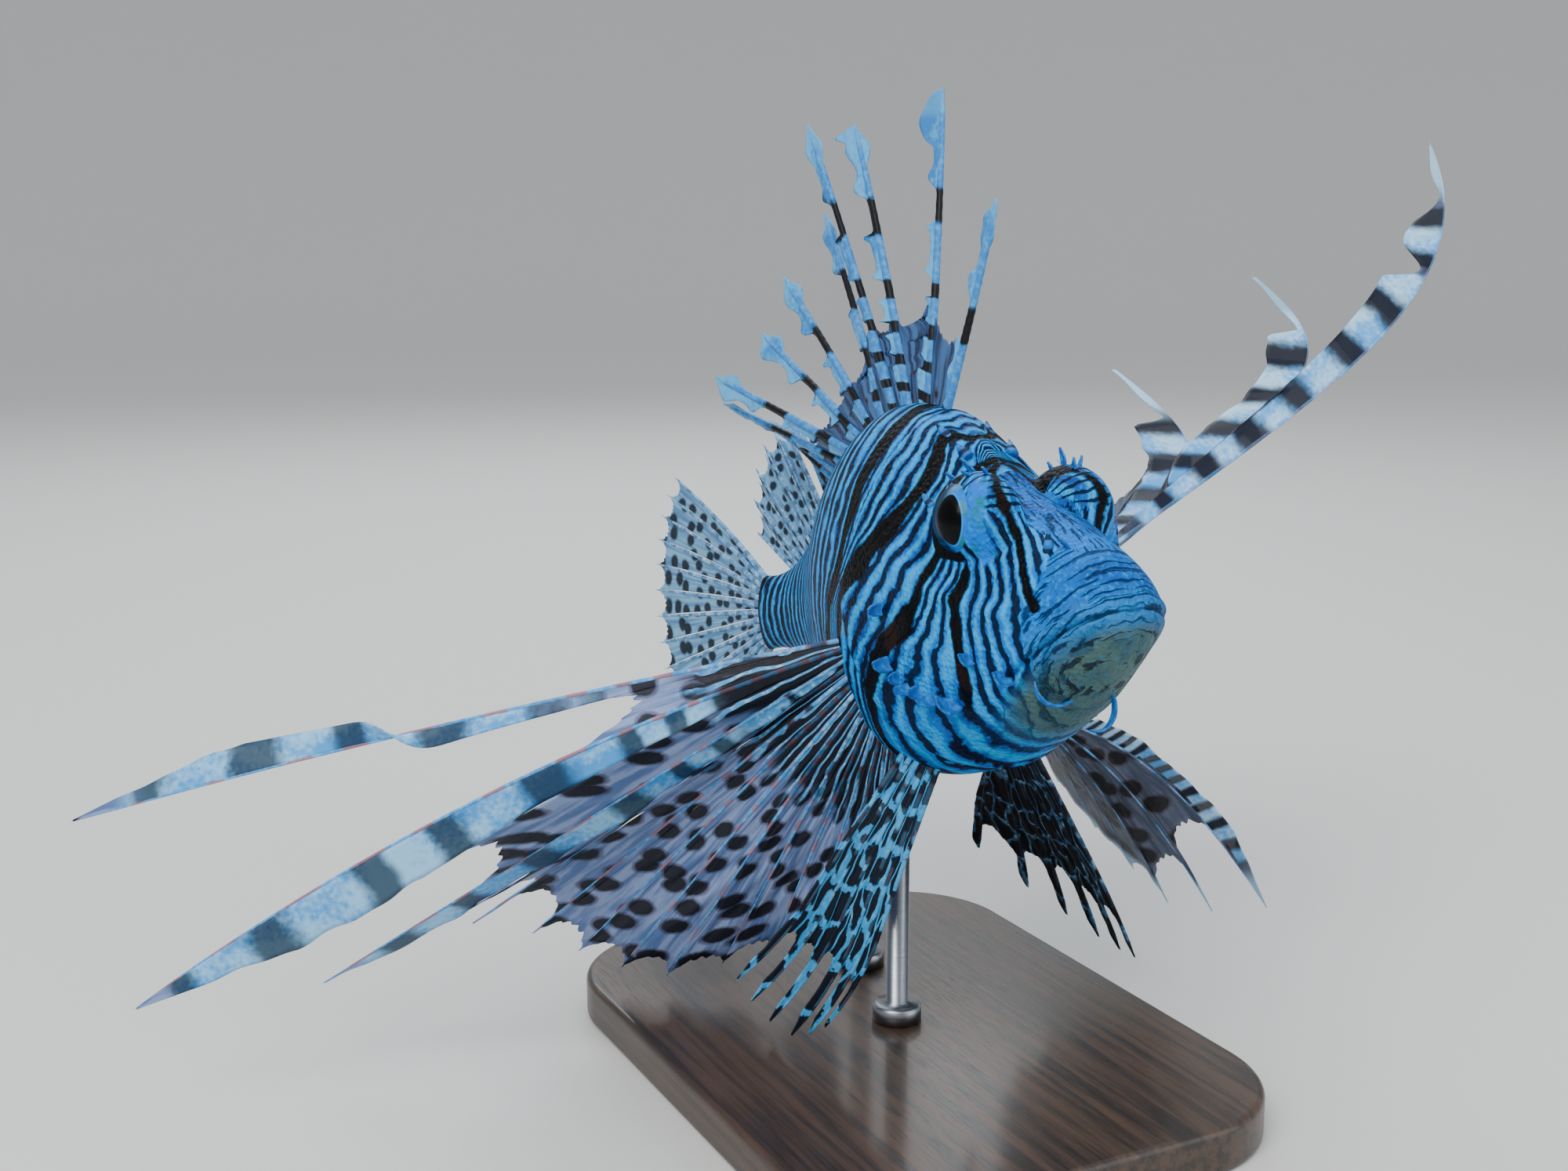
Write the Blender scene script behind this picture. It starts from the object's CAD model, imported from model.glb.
"""Life-size still model of a red lionfish on a small display stand, dressed for rendering.

The fish is worked out in its own frame, in millimetres: X forward and Z up from the
snout tip, with stations measured back along the body. Placement puts it in the row frame.
"""

import logging
import math
from dataclasses import dataclass, field
from enum import Enum

import bpy
import numpy as np
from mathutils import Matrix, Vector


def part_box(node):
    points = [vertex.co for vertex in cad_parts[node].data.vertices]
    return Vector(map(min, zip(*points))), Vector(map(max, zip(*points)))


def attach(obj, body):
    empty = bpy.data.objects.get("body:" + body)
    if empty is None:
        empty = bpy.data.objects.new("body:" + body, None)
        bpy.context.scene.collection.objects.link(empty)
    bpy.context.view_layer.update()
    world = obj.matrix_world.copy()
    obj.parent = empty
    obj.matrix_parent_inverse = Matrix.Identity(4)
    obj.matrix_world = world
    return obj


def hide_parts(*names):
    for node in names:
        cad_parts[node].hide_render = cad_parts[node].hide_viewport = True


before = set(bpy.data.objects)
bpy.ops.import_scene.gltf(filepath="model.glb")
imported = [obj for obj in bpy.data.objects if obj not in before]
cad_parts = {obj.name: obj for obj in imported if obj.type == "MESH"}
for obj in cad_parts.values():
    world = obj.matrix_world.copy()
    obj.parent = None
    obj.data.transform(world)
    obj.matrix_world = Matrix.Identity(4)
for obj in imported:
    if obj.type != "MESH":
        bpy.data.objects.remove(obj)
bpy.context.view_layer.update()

log = logging.getLogger("lionfish")

Array = np.ndarray
Rows = tuple[tuple[float, ...], ...]
MILLIMETRE = 0.001
FULL_TURN = 2 * math.pi
UP = np.array([0, 0, 1.0])


class Slot(Enum):
    """The record's material slots."""

    SKIN = "skin"
    FIN = "fin"
    EYE = "eye"
    BASE = "stand_base"
    ROD = "stand_rod"


class Side(Enum):
    """The two sides of the fish, as the sign of its sideways axis."""

    RIGHT = -1
    LEFT = 1


# Curves and directions


def smooth_curve(rows: Rows, place: Array) -> Array:
    """Values between key rows: a cubic whose slope at a row is that between its neighbours.

    With t the share of the way between two rows and w their distance, the value is
    a + rise * t + t * (1 - t) * ((slope0 * w - rise) * (1 - t) + (rise - slope1 * w) * t).

    Args:
        rows: Key rows, each a place followed by its values.
        place: Places to read, of any shape. Those beyond the rows take the end values.

    Returns:
        The values, in one more axis than place.
    """
    table = np.asarray(rows, dtype=float)
    knots = table[:, 0]
    values = table[:, 1:]
    count = len(knots)
    at = np.clip(place, knots[0], knots[-1])
    index = np.clip(np.searchsorted(knots, at, side="right") - 1, 0, count - 2)
    before = np.maximum(np.arange(count) - 1, 0)
    after = np.minimum(np.arange(count) + 1, count - 1)
    slopes = (values[after] - values[before]) / (knots[after] - knots[before])[:, None]
    width = (knots[index + 1] - knots[index])[..., None]
    t = (at - knots[index])[..., None] / width
    rise = values[index + 1] - values[index]
    leaving = slopes[index] * width - rise
    arriving = rise - slopes[index + 1] * width
    return values[index] + rise * t + t * (1 - t) * (leaving * (1 - t) + arriving * t)


def unit(vectors: Array) -> Array:
    """The vectors, each with a length of one."""
    return vectors / np.maximum(np.linalg.norm(vectors, axis=-1, keepdims=True), 1e-9)


def mix(start: Array | float, end: Array | float, share: Array | float) -> Array:
    """The value a share of the way from start to end."""
    return start + (end - start) * share


def smooth_step(low: float, high: float, value: Array) -> Array:
    """0 below low, 1 above high, and 3t^2 - 2t^3 between them."""
    t = np.clip((value - low) / (high - low), 0, 1)
    return t * t * (3 - 2 * t)


def ripple(phase: Array, seed: float) -> Array:
    """A smooth uneven wave between about -1 and 1: three sines of unrelated lengths."""
    waves = np.sin(phase + seed) + 0.6 * np.sin(2.3 * phase + 1.7 * seed)
    return (waves + 0.4 * np.sin(4.1 * phase + 2.9 * seed)) / 2


def bell(value: Array, middle: Array | float, width: float) -> Array:
    """A bump of height 1 about the middle: exp(-((value - middle) / width)^2)."""
    return np.exp(-(((value - middle) / width) ** 2))


def stacked(*parts: Array | float) -> Array:
    """The parts, brought to one shape, as the last axis of one array."""
    return np.stack(np.broadcast_arrays(*parts), axis=-1)


# The body

# The eyeballs' centres: station, distance out from the middle plane, and height.
EYE_STATION = 31
EYE_OUT = 11
EYE_HEIGHT = 17


def eye_distance(station: Array, side: Array, height: Array) -> Array:
    """Distance of points from the centre of the eyeball on their own side."""
    out = np.abs(side) - EYE_OUT
    return np.sqrt((station - EYE_STATION) ** 2 + out**2 + (height - EYE_HEIGHT) ** 2)


@dataclass
class Body:
    """The fish's body as a surface of station and angle round it from the back."""

    length: float = 188
    back_power: float = 1.7
    chin_power: float = 1.66
    belly_power: float = 2.25
    chin_end: float = 38
    # Station, top, bottom, half width and the height of the widest line.
    sections: Rows = (
        (0, 1, -2.6, 2.5, -1),
        (0.8, 3.4, -5.2, 5.5, -1.5),
        (2.6, 6, -8.2, 8.4, -2),
        (6, 9.2, -12, 11, -2.5),
        (12, 12.8, -16.5, 13.6, -3),
        (20, 17, -21.6, 16.6, -3),
        (31, 22.6, -27, 19.4, -2),
        (45, 33, -31, 21.2, 0),
        (58, 39.5, -33.5, 21.5, 1),
        (75, 41.5, -33.5, 20, 2),
        (95, 38.5, -31, 17, 3),
        (120, 31, -24.5, 12.4, 4),
        (145, 22.5, -15.5, 8.4, 4),
        (168, 14.5, -8.5, 5.4, 3.5),
        (180, 12.5, -6.5, 4.2, 3),
        (188, 13, -6.5, 3.2, 3),
    )
    # Station, shift to the left and rise.
    centre_line: Rows = (
        (0, 0, 0),
        (55, 0, 0),
        (80, 2, 0),
        (104, 7, 0),
        (122, 12.5, -0.5),
        (145, 18.2, -2.5),
        (168, 20.8, -4.5),
        (188, 20.4, -6),
    )

    def section(self, station: Array) -> tuple[Array, Array, Array, Array]:
        """Top, bottom, half width and widest height at each station."""
        values = smooth_curve(self.sections, station)
        return values[..., 0], values[..., 1], values[..., 2], values[..., 3]

    def lower_power(self, station: Array) -> Array:
        """Fullness of the section's lower half, from the chin's to the belly's."""
        share = np.clip(station / self.chin_end, 0, 1)
        return mix(self.chin_power, self.belly_power, share)

    def axes(self, station: Array) -> tuple[Array, Array, Array]:
        """The centre line at each station.

        Args:
            station: Distances back from the snout.

        Returns:
            The points, and the directions back and left there.
        """
        station = np.asarray(station, dtype=float)
        at = np.minimum(station, self.length - 1)
        line = smooth_curve(self.centre_line, station)
        point = stacked(-station, line[..., 0], line[..., 1])
        shift = (smooth_curve(self.centre_line, at + 1) - smooth_curve(self.centre_line, at - 1))[..., 0]
        back = unit(stacked(-2, shift, 0))
        left = stacked(back[..., 1], -back[..., 0], 0)
        return point, back, left

    def point(self, station: Array, side: Array, height: Array) -> Array:
        """Points given by station, side (left positive) and height."""
        centre, _, left = self.axes(station)
        return centre + left * np.asarray(side)[..., None] + UP * np.asarray(height)[..., None]

    def direction(self, station: Array, back: Array, left: Array, up: Array) -> Array:
        """Directions given by how far they point back, left and up at a station."""
        _, back_axis, left_axis = self.axes(station)
        return unit(
            back_axis * np.asarray(back)[..., None]
            + left_axis * np.asarray(left)[..., None]
            + UP * np.asarray(up)[..., None]
        )

    def aim(self, station: Array, sign: int, back: Array, rise: Array) -> Array:
        """Directions of a paired fin's rays.

        Args:
            station: Distances back from the snout.
            sign: 1 on the left side, -1 on the right.
            back: Degrees back from straight out.
            rise: Degrees of elevation.

        Returns:
            The directions, each with a length of one.
        """
        back = np.radians(back)
        rise = np.radians(rise)
        level = np.cos(rise)
        return self.direction(station, np.sin(back) * level, sign * np.cos(back) * level, np.sin(rise))

    def outline(self, station: Array, angle: Array) -> tuple[Array, Array]:
        """Side and height of the skin before its features are added.

        The section is a superellipse with its own power above and below its widest line:
        side = width * sin^(2/p), height = middle + reach * cos^(2/p), with their signs.

        Args:
            station: Distances back from the snout.
            angle: Angles from the back round the left side, in radians.

        Returns:
            The sides and the heights.
        """
        top, bottom, width, middle = self.section(station)
        cosine = np.cos(angle)
        sine = np.sin(angle)
        power = 2 / np.where(cosine > 0, self.back_power, self.lower_power(station))
        reach = np.where(cosine > 0, top - middle, middle - bottom)
        side = width * np.sign(sine) * np.abs(sine) ** power
        return side, middle + reach * np.sign(cosine) * np.abs(cosine) ** power

    def flank(self, station: Array, height: Array) -> Array:
        """Half width of the body at a station and height.

        Args:
            station: Distances back from the snout.
            height: Heights.

        Returns:
            Half widths.
        """
        top, bottom, width, middle = self.section(station)
        upper = height > middle
        reach = np.where(upper, top - middle, middle - bottom)
        share = np.clip(np.abs(height - middle) / reach, 0, 1)
        power = np.where(upper, self.back_power, self.lower_power(station))
        return width * (1 - share**power) ** (1 / power)

    def underside(self, station: Array, side: Array) -> Array:
        """Height of the belly's skin at a station and side.

        Args:
            station: Distances back from the snout.
            side: Distances to the left.

        Returns:
            Heights.
        """
        _, bottom, width, middle = self.section(station)
        power = self.lower_power(station)
        share = np.clip(side / width, 0, 1) ** power
        return middle - (middle - bottom) * (1 - share) ** (1 / power)


@dataclass(frozen=True)
class Placement:
    """Where the fish is held over the stand: its snout tip, and how far its nose is raised."""

    snout: tuple[float, float, float] = (84, -4, 122)
    pitch_degrees: float = 11

    def place(self, points: Array) -> Array:
        """Points of the fish, in millimetres, as points of the row frame, in metres.

        Args:
            points: Points in the fish's own frame.

        Returns:
            The placed points.
        """
        pitch = math.radians(self.pitch_degrees)
        turn = np.array(
            [[math.cos(pitch), 0, -math.sin(pitch)], [0, 1, 0], [math.sin(pitch), 0, math.cos(pitch)]]
        )
        return (points @ turn.T + np.array(self.snout)) * MILLIMETRE


BODY = Body()
PLACEMENT = Placement()


# Meshes


@dataclass
class Surface:
    """Collects grids of points, with values at each point, and makes one mesh of them."""

    name: str
    slot: Slot
    in_fish: bool = True
    points: list[Array] = field(default_factory=list)
    faces: list[Array] = field(default_factory=list)
    values: dict[str, list[Array]] = field(default_factory=dict)
    count: int = 0

    def _add(self, points: Array, faces: list[Array], values: dict[str, Array]) -> None:
        """Adds loose points and their faces, turned outwards if they close a space.

        Args:
            points: Points of any shape, three numbers each.
            faces: Corner numbers, in groups of triangles or quads.
            values: Values at each point.
        """
        flat = points.reshape(-1, 3)
        volume = 0.0
        for group in faces:
            for k in range(1, group.shape[1] - 1):
                corners = (flat[group[:, 0]], flat[group[:, k]], flat[group[:, k + 1]])
                volume += float(np.einsum("ij,ij->", corners[0], np.cross(corners[1], corners[2])))
        turned = [group[:, ::-1] if volume < 0 else group for group in faces]
        self.points.append(flat)
        self.faces.extend(group + self.count for group in turned)
        for key, value in values.items():
            self.values.setdefault(key, []).append(value.reshape(len(flat), -1))
        self.count += len(flat)

    @staticmethod
    def quads(rows: int, columns: int, wrap: bool) -> Array:
        """Corner numbers of a grid's faces, its last column joined to the first if it wraps.

        Args:
            rows: Rows of points.
            columns: Columns of points.
            wrap: Whether the last column joins the first.

        Returns:
            Four corner numbers a face.
        """
        row = np.arange(rows - 1)[:, None]
        column = np.arange(columns if wrap else columns - 1)[None, :]
        following = (column + 1) % columns
        corners = (
            row * columns + column,
            row * columns + following,
            (row + 1) * columns + following,
            (row + 1) * columns + column,
        )
        return np.stack([np.broadcast_to(c, corners[0].shape).ravel() for c in corners], axis=1)

    def tube(self, points: Array, values: dict[str, Array]) -> None:
        """Adds a closed tube: rings of points along it, with a fan of triangles at each end.

        Args:
            points: Points by ring and by place round it.
            values: Values at each point.
        """
        rows, columns = points.shape[:2]
        ends = [rows * columns, rows * columns + 1]
        around = np.arange(columns)
        first = np.stack([(around + 1) % columns, around, np.full(columns, ends[0])], axis=1)
        start = (rows - 1) * columns
        last = np.stack([around, (around + 1) % columns, np.full(columns, ends[1] - start)], axis=1) + start
        flat = np.concatenate([points.reshape(-1, 3), points[[0, -1]].mean(axis=1)])
        full = {}
        for key, value in values.items():
            shaped = value.reshape(rows, columns, -1)
            ending = shaped[[0, -1]].mean(axis=1)
            full[key] = np.concatenate([shaped.reshape(rows * columns, -1), ending])
        self._add(flat, [self.quads(rows, columns, True), first, last], full)

    def sheet(self, points: Array, half: Array | float, values: dict[str, Array]) -> None:
        """Adds a thin closed sheet: each face lies half its thickness from the middle surface.

        Args:
            points: The middle surface, by row and column.
            half: Half the thickness at each point.
            values: Values at each point.
        """
        rows, columns = points.shape[:2]
        along = np.gradient(points, axis=0)
        across = np.gradient(points, axis=1)
        normal = unit(np.cross(across, along))
        offset = normal * np.broadcast_to(half, (rows, columns))[..., None]
        flat = np.concatenate([(points + offset).reshape(-1, 3), (points - offset).reshape(-1, 3)])
        number = rows * columns
        front = self.quads(rows, columns, False)
        grid = np.arange(number).reshape(rows, columns)
        rim = np.concatenate([grid[0, :-1], grid[:-1, -1], grid[-1, :0:-1], grid[:0:-1, 0]])
        following = np.roll(rim, -1)
        wall = np.stack([following, rim, rim + number, following + number], axis=1)
        doubled = {}
        for key, value in values.items():
            shaped = value.reshape(number, -1)
            doubled[key] = np.concatenate([shaped, shaped])
        self._add(flat, [front, front[:, ::-1] + number, wall], doubled)

    def build(self) -> bpy.types.Object:
        """The mesh object, in the row frame, riding on the root body.

        Returns:
            The piece.
        """
        points = np.concatenate(self.points)
        if self.in_fish:
            points = PLACEMENT.place(points)
        else:
            points = points * MILLIMETRE
        sizes = np.concatenate([np.full(len(group), group.shape[1]) for group in self.faces])
        corners = np.concatenate([group.ravel() for group in self.faces])
        mesh = bpy.data.meshes.new(self.name)
        mesh.vertices.add(len(points))
        mesh.vertices.foreach_set("co", points.astype(np.float32).ravel())
        mesh.loops.add(len(corners))
        mesh.loops.foreach_set("vertex_index", corners.astype(np.int32))
        mesh.polygons.add(len(sizes))
        starts = np.concatenate([[0], np.cumsum(sizes)[:-1]])
        mesh.polygons.foreach_set("loop_start", starts.astype(np.int32))
        mesh.polygons.foreach_set("use_smooth", np.ones(len(sizes), dtype=bool))
        mesh.update(calc_edges=True)
        for name, parts in self.values.items():
            data = np.concatenate(parts)
            kind = "FLOAT" if data.shape[1] == 1 else "FLOAT_VECTOR"
            layer = mesh.attributes.new(name, kind, "POINT")
            key = "value" if kind == "FLOAT" else "vector"
            layer.data.foreach_set(key, data.astype(np.float32).ravel())
        mesh.validate()
        piece = bpy.data.objects.new(self.name, mesh)
        bpy.context.scene.collection.objects.link(piece)
        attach(piece, "root")
        return piece


def ring_round(path: Array, side: Array, up: Array, width: Array, height: Array, sides: int) -> Array:
    """Elliptical rings along a path: path + side * width * cos + up * height * sin.

    Args:
        path: Points along the tube.
        side: Directions of each ring's width.
        up: Directions of each ring's height.
        width: Half widths along the path.
        height: Half heights along the path.
        sides: Points in a ring.

    Returns:
        Points by place along the path and place round it.
    """
    turn = np.linspace(0, FULL_TURN, sides, endpoint=False)
    wide = side[:, None] * (width[:, None] * np.cos(turn))[..., None]
    high = up[:, None] * (height[:, None] * np.sin(turn))[..., None]
    return path[:, None] + wide + high


# Shader building


class Value:
    """A number in a material's node tree, with the usual arithmetic."""

    def __init__(self, tree: "Tree", socket: bpy.types.NodeSocket) -> None:
        """Wraps one output socket of the tree."""
        self.tree = tree
        self.socket = socket

    def __add__(self, other: "Value | float") -> "Value":
        """self + other."""
        return self.tree.math("ADD", self, other)

    def __radd__(self, other: float) -> "Value":
        """other + self."""
        return self.tree.math("ADD", other, self)

    def __sub__(self, other: "Value | float") -> "Value":
        """self - other."""
        return self.tree.math("SUBTRACT", self, other)

    def __rsub__(self, other: float) -> "Value":
        """other - self."""
        return self.tree.math("SUBTRACT", other, self)

    def __mul__(self, other: "Value | float") -> "Value":
        """self * other."""
        return self.tree.math("MULTIPLY", self, other)

    def __rmul__(self, other: float) -> "Value":
        """other * self."""
        return self.tree.math("MULTIPLY", other, self)

    def __truediv__(self, other: "Value | float") -> "Value":
        """self / other."""
        return self.tree.math("DIVIDE", self, other)

    def to_nearest(self) -> "Value":
        """Distance to the nearest whole number, 0 to 0.5."""
        return self.tree.math("ABSOLUTE", self.tree.math("FRACT", self + 0.5) - 0.5)

    def to_size(self) -> "Value":
        """The size without its sign."""
        return self.tree.math("ABSOLUTE", self)

    def least(self, other: "Value | float") -> "Value":
        """The smaller of the two."""
        return self.tree.math("MINIMUM", self, other)

    def step(self, low: float, high: float) -> "Value":
        """Smoothly from 0 at low to 1 at high, or falling if high is the smaller.

        Args:
            low: Where the step starts.
            high: Where it ends.

        Returns:
            The share.
        """
        rising = high > low
        node = self.tree.node(
            "ShaderNodeMapRange",
            {"interpolation_type": "SMOOTHSTEP"},
            {"Value": self, "From Min": min(low, high), "From Max": max(low, high),
             "To Min": 0.0 if rising else 1.0, "To Max": 1.0 if rising else 0.0},
        )
        return Value(self.tree, node.outputs["Result"])


Colour = tuple[float, float, float]


def linear(red: int, green: int, blue: int) -> Colour:
    """A screen colour, 0 to 255 a channel, as linear light: ((c + 0.055) / 1.055) ^ 2.4."""

    def channel(level: int) -> float:
        """One channel as linear light."""
        share = level / 255
        return share / 12.92 if share <= 0.04045 else ((share + 0.055) / 1.055) ** 2.4

    return channel(red), channel(green), channel(blue)


class Tree:
    """One material's node tree and the helpers that fill it."""

    def __init__(self, name: str) -> None:
        """Starts an empty material of that name.

        Args:
            name: The material's name.
        """
        self.material = bpy.data.materials.new(name)
        self.material.use_nodes = True
        self.nodes = self.material.node_tree.nodes
        self.nodes.clear()
        self.links = self.material.node_tree.links

    def node(self, kind: str, settings: dict | None = None, sockets: dict | None = None) -> bpy.types.Node:
        """Adds any node.

        Args:
            kind: The node's type.
            settings: Its own properties, set first.
            sockets: Values or links by socket name or number.

        Returns:
            The node.
        """
        node = self.nodes.new(kind)
        for key, setting in (settings or {}).items():
            setattr(node, key, setting)
        for key, value in (sockets or {}).items():
            self.feed(node.inputs[key], value)
        return node

    def feed(self, socket: bpy.types.NodeSocket, value: object) -> None:
        """Links a value or output to a socket, or sets the socket to a constant."""
        if isinstance(value, Value):
            self.links.new(value.socket, socket)
        elif isinstance(value, bpy.types.NodeSocket):
            self.links.new(value, socket)
        elif isinstance(value, tuple) and socket.type == "RGBA" and len(value) == 3:
            socket.default_value = (*value, 1.0)
        else:
            socket.default_value = value

    def math(self, operation: str, first: Value | float, second: Value | float = 0.0) -> Value:
        """A Math node's result."""
        node = self.node("ShaderNodeMath", {"operation": operation}, {0: first, 1: second})
        return Value(self, node.outputs[0])

    def blend(self, share: Value | float, low: object, high: object) -> bpy.types.NodeSocket:
        """A colour a share of the way from low to high."""
        node = self.node("ShaderNodeMix", {"data_type": "RGBA"}, {0: share, 6: low, 7: high})
        return node.outputs[2]

    def own(self, name: str) -> tuple[Value, Value, Value]:
        """The three parts of a vector kept at each point of the mesh.

        Args:
            name: The vector's name.

        Returns:
            Its three parts.
        """
        source = self.node("ShaderNodeAttribute", {"attribute_name": name})
        parts = self.node("ShaderNodeSeparateXYZ", None, {0: source.outputs["Vector"]})
        return Value(self, parts.outputs[0]), Value(self, parts.outputs[1]), Value(self, parts.outputs[2])

    def vector(self, x: Value | float, y: Value | float, z: Value | float = 0.0) -> bpy.types.NodeSocket:
        """A vector of three values."""
        return self.node("ShaderNodeCombineXYZ", None, {0: x, 1: y, 2: z}).outputs[0]

    def place(self) -> bpy.types.NodeSocket:
        """The object coordinates in millimetres.

        Returns:
            The coordinates.
        """
        source = self.node("ShaderNodeTexCoord")
        scaled = self.node(
            "ShaderNodeVectorMath",
            {"operation": "MULTIPLY"},
            {0: source.outputs["Object"], 1: (1 / MILLIMETRE,) * 3},
        )
        return scaled.outputs[0]

    def noise(self, at: bpy.types.NodeSocket, scale: float, detail: float = 2.0) -> Value:
        """Soft noise, 0 to 1 about 0.5, with features of about 1 / scale."""
        node = self.node("ShaderNodeTexNoise", None, {"Vector": at, "Scale": scale, "Detail": detail})
        return Value(self, node.outputs["Fac"])

    def cells(self, at: bpy.types.NodeSocket, scale: float, settings: dict | None = None) -> Value:
        """Distance to the nearest of a scatter of points, or to the border of its cell, in cells."""
        node = self.node("ShaderNodeTexVoronoi", settings, {"Vector": at, "Scale": scale, "Randomness": 0.7})
        return Value(self, node.outputs["Distance"])

    def bump(self, height: Value, distance: float, strength: float = 1.0) -> bpy.types.NodeSocket:
        """A normal raised by a height, in metres at distance."""
        sockets = {"Strength": strength, "Distance": distance, "Height": height}
        return self.node("ShaderNodeBump", None, sockets).outputs["Normal"]

    def finish(self, sockets: dict) -> bpy.types.Material:
        """Ends the tree with a Principled shader that has these sockets.

        Args:
            sockets: Values or links by the shader's socket.

        Returns:
            The material.
        """
        shader = self.node("ShaderNodeBsdfPrincipled", None, sockets)
        self.node("ShaderNodeOutputMaterial", None, {"Surface": shader.outputs[0]})
        return self.material


# Finishes


@dataclass(frozen=True)
class SkinFinish:
    """Pale blue-lit skin with wide dark bands and thin dark lines between them."""

    pale: Colour = linear(2, 112, 206)
    bright: Colour = linear(6, 186, 255)
    shade: Colour = linear(0, 56, 140)
    line: Colour = linear(3, 8, 24)
    band: Colour = linear(2, 3, 7)
    band_brown: Colour = linear(30, 14, 10)
    lip: Colour = linear(44, 124, 186)
    jaw: Colour = linear(72, 102, 98)
    jaw_shade: Colour = linear(46, 82, 96)
    jaw_line: Colour = linear(16, 36, 52)
    iris: Colour = linear(0, 112, 218)
    iris_green: Colour = linear(18, 120, 150)
    roughness: float = 0.45
    gloss: float = 0.1

    def material(self, name: str) -> bpy.types.Material:
        """Reads four vectors kept at the points.

        marks is the distance outside a wide band, the count of thin lines and the share of
        the nose's bridge. flow is the height above the mouth line, and the way round the
        skin from the back and from the belly. face is the station, the lips' share and the
        jaw's. brow is the count of lines round the eye, their share and that of the bright
        patch before the eye.

        Args:
            name: The material's name.

        Returns:
            The material.
        """
        tree = Tree(name)
        mark, count, bridge = tree.own("marks")
        above, down, up = tree.own("flow")
        station, lips, jaw = tree.own("face")
        spokes, round_eye, patch = tree.own("brow")
        place = tree.place()
        warp = tree.noise(place, 0.16, 3.0) - 0.5
        fine = tree.noise(place, 1.1, 4.0)
        broad = tree.noise(place, 0.06, 2.0)
        patchy = tree.noise(place, 0.3, 2.0)
        bridge = (bridge + warp * 0.6).step(0.46, 0.54)
        lips = (lips + warp * 0.6).step(0.44, 0.56) * (1.0 - bridge)
        round_eye = (round_eye + warp * 0.4).step(0.46, 0.54)
        band = (mark + warp * 2.6 + (fine - 0.5) * 0.6).step(0.3, -0.3)
        lines = (count + warp * 1.1).to_nearest()
        width = 0.17 + (patchy - 0.5) * 0.36 + station.step(66.0, 84.0) * 0.08
        plain = (1.0 - (lips + bridge + jaw).least(1.0)) * (1.0 - patch) * (1.0 - round_eye)
        thin = ((lines - width) + (fine - 0.5) * 0.1).step(0.04, -0.05) * plain
        rays = ((spokes + warp * 1.6).to_nearest() - width + (fine - 0.5) * 0.1).step(0.0, -0.08)
        rays = rays * round_eye * (1.0 - patch)
        edge = (fine - 0.5) * 0.08
        folds = tree.noise(tree.vector(above * 1.05 + station * 0.2 + warp * 4.0, station * 0.2), 1.0, 3.0)
        dashes = tree.noise(tree.vector(down * 0.95 + station * 0.1 + warp * 3.0, station * 0.2), 1.0, 3.0)
        creases = (folds + edge).step(0.47, 0.4) * lips + (dashes + edge).step(0.46, 0.38) * bridge
        sweep = above * 0.42 + station * 0.22 + warp * 2.6
        furrows = tree.noise(tree.vector(sweep, station * 0.05 + up * 0.05), 1.0, 3.0)
        arcs = (furrows + edge).step(0.44, 0.38) * jaw
        tone = tree.blend(broad.step(0.35, 0.65), self.pale, self.shade)
        sheen = (lines + patchy * 0.4 - 0.2).step(0.2, 0.5) * (1.0 - (lips + bridge).least(1.0))
        tone = tree.blend(sheen * 0.6, tone, self.bright)
        tone = tree.blend(fine.step(0.5, 0.75) * 0.4, tone, self.bright)
        tone = tree.blend(lips * above.step(6.0, 0.0) * 0.6, tone, self.lip)
        chin = tree.blend((furrows + patchy * 0.5).step(0.9, 0.6), self.jaw, self.jaw_shade)
        chin = tree.blend(fine.step(0.45, 0.75) * 0.3, chin, self.lip)
        tone = tree.blend(jaw, tone, chin)
        glow = tree.blend(patchy.step(0.5, 0.66), self.iris, self.iris_green)
        tone = tree.blend(patch, tone, tree.blend(fine.step(0.5, 0.7) * 0.2, glow, self.bright))
        tone = tree.blend((thin + rays).least(1.0) * 0.95, tone, self.line)
        tone = tree.blend(creases * 0.8, tone, self.line)
        tone = tree.blend(arcs * 0.5, tone, self.jaw_line)
        parting = (above + warp * 0.8).to_size().step(0.4, 0.1) * (lips + jaw).least(1.0)
        tone = tree.blend(parting * 0.6, tone, self.line)
        dark = tree.blend(tree.noise(place, 0.1, 2.0).step(0.56, 0.68), self.band, self.band_brown)
        tone = tree.blend(band, tone, dark)
        grain = tree.cells(place, 0.9).step(0.1, 0.7)
        relief = fine * 0.5 + grain * 0.3 - (thin + rays + creases + arcs * 1.6) * 0.7 - band * 0.3
        return tree.finish({
            "Base Color": tone,
            "Roughness": self.roughness + fine * 0.15,
            "Specular IOR Level": self.gloss,
            "Normal": tree.bump(relief, 0.0008, 0.9),
        })


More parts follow.
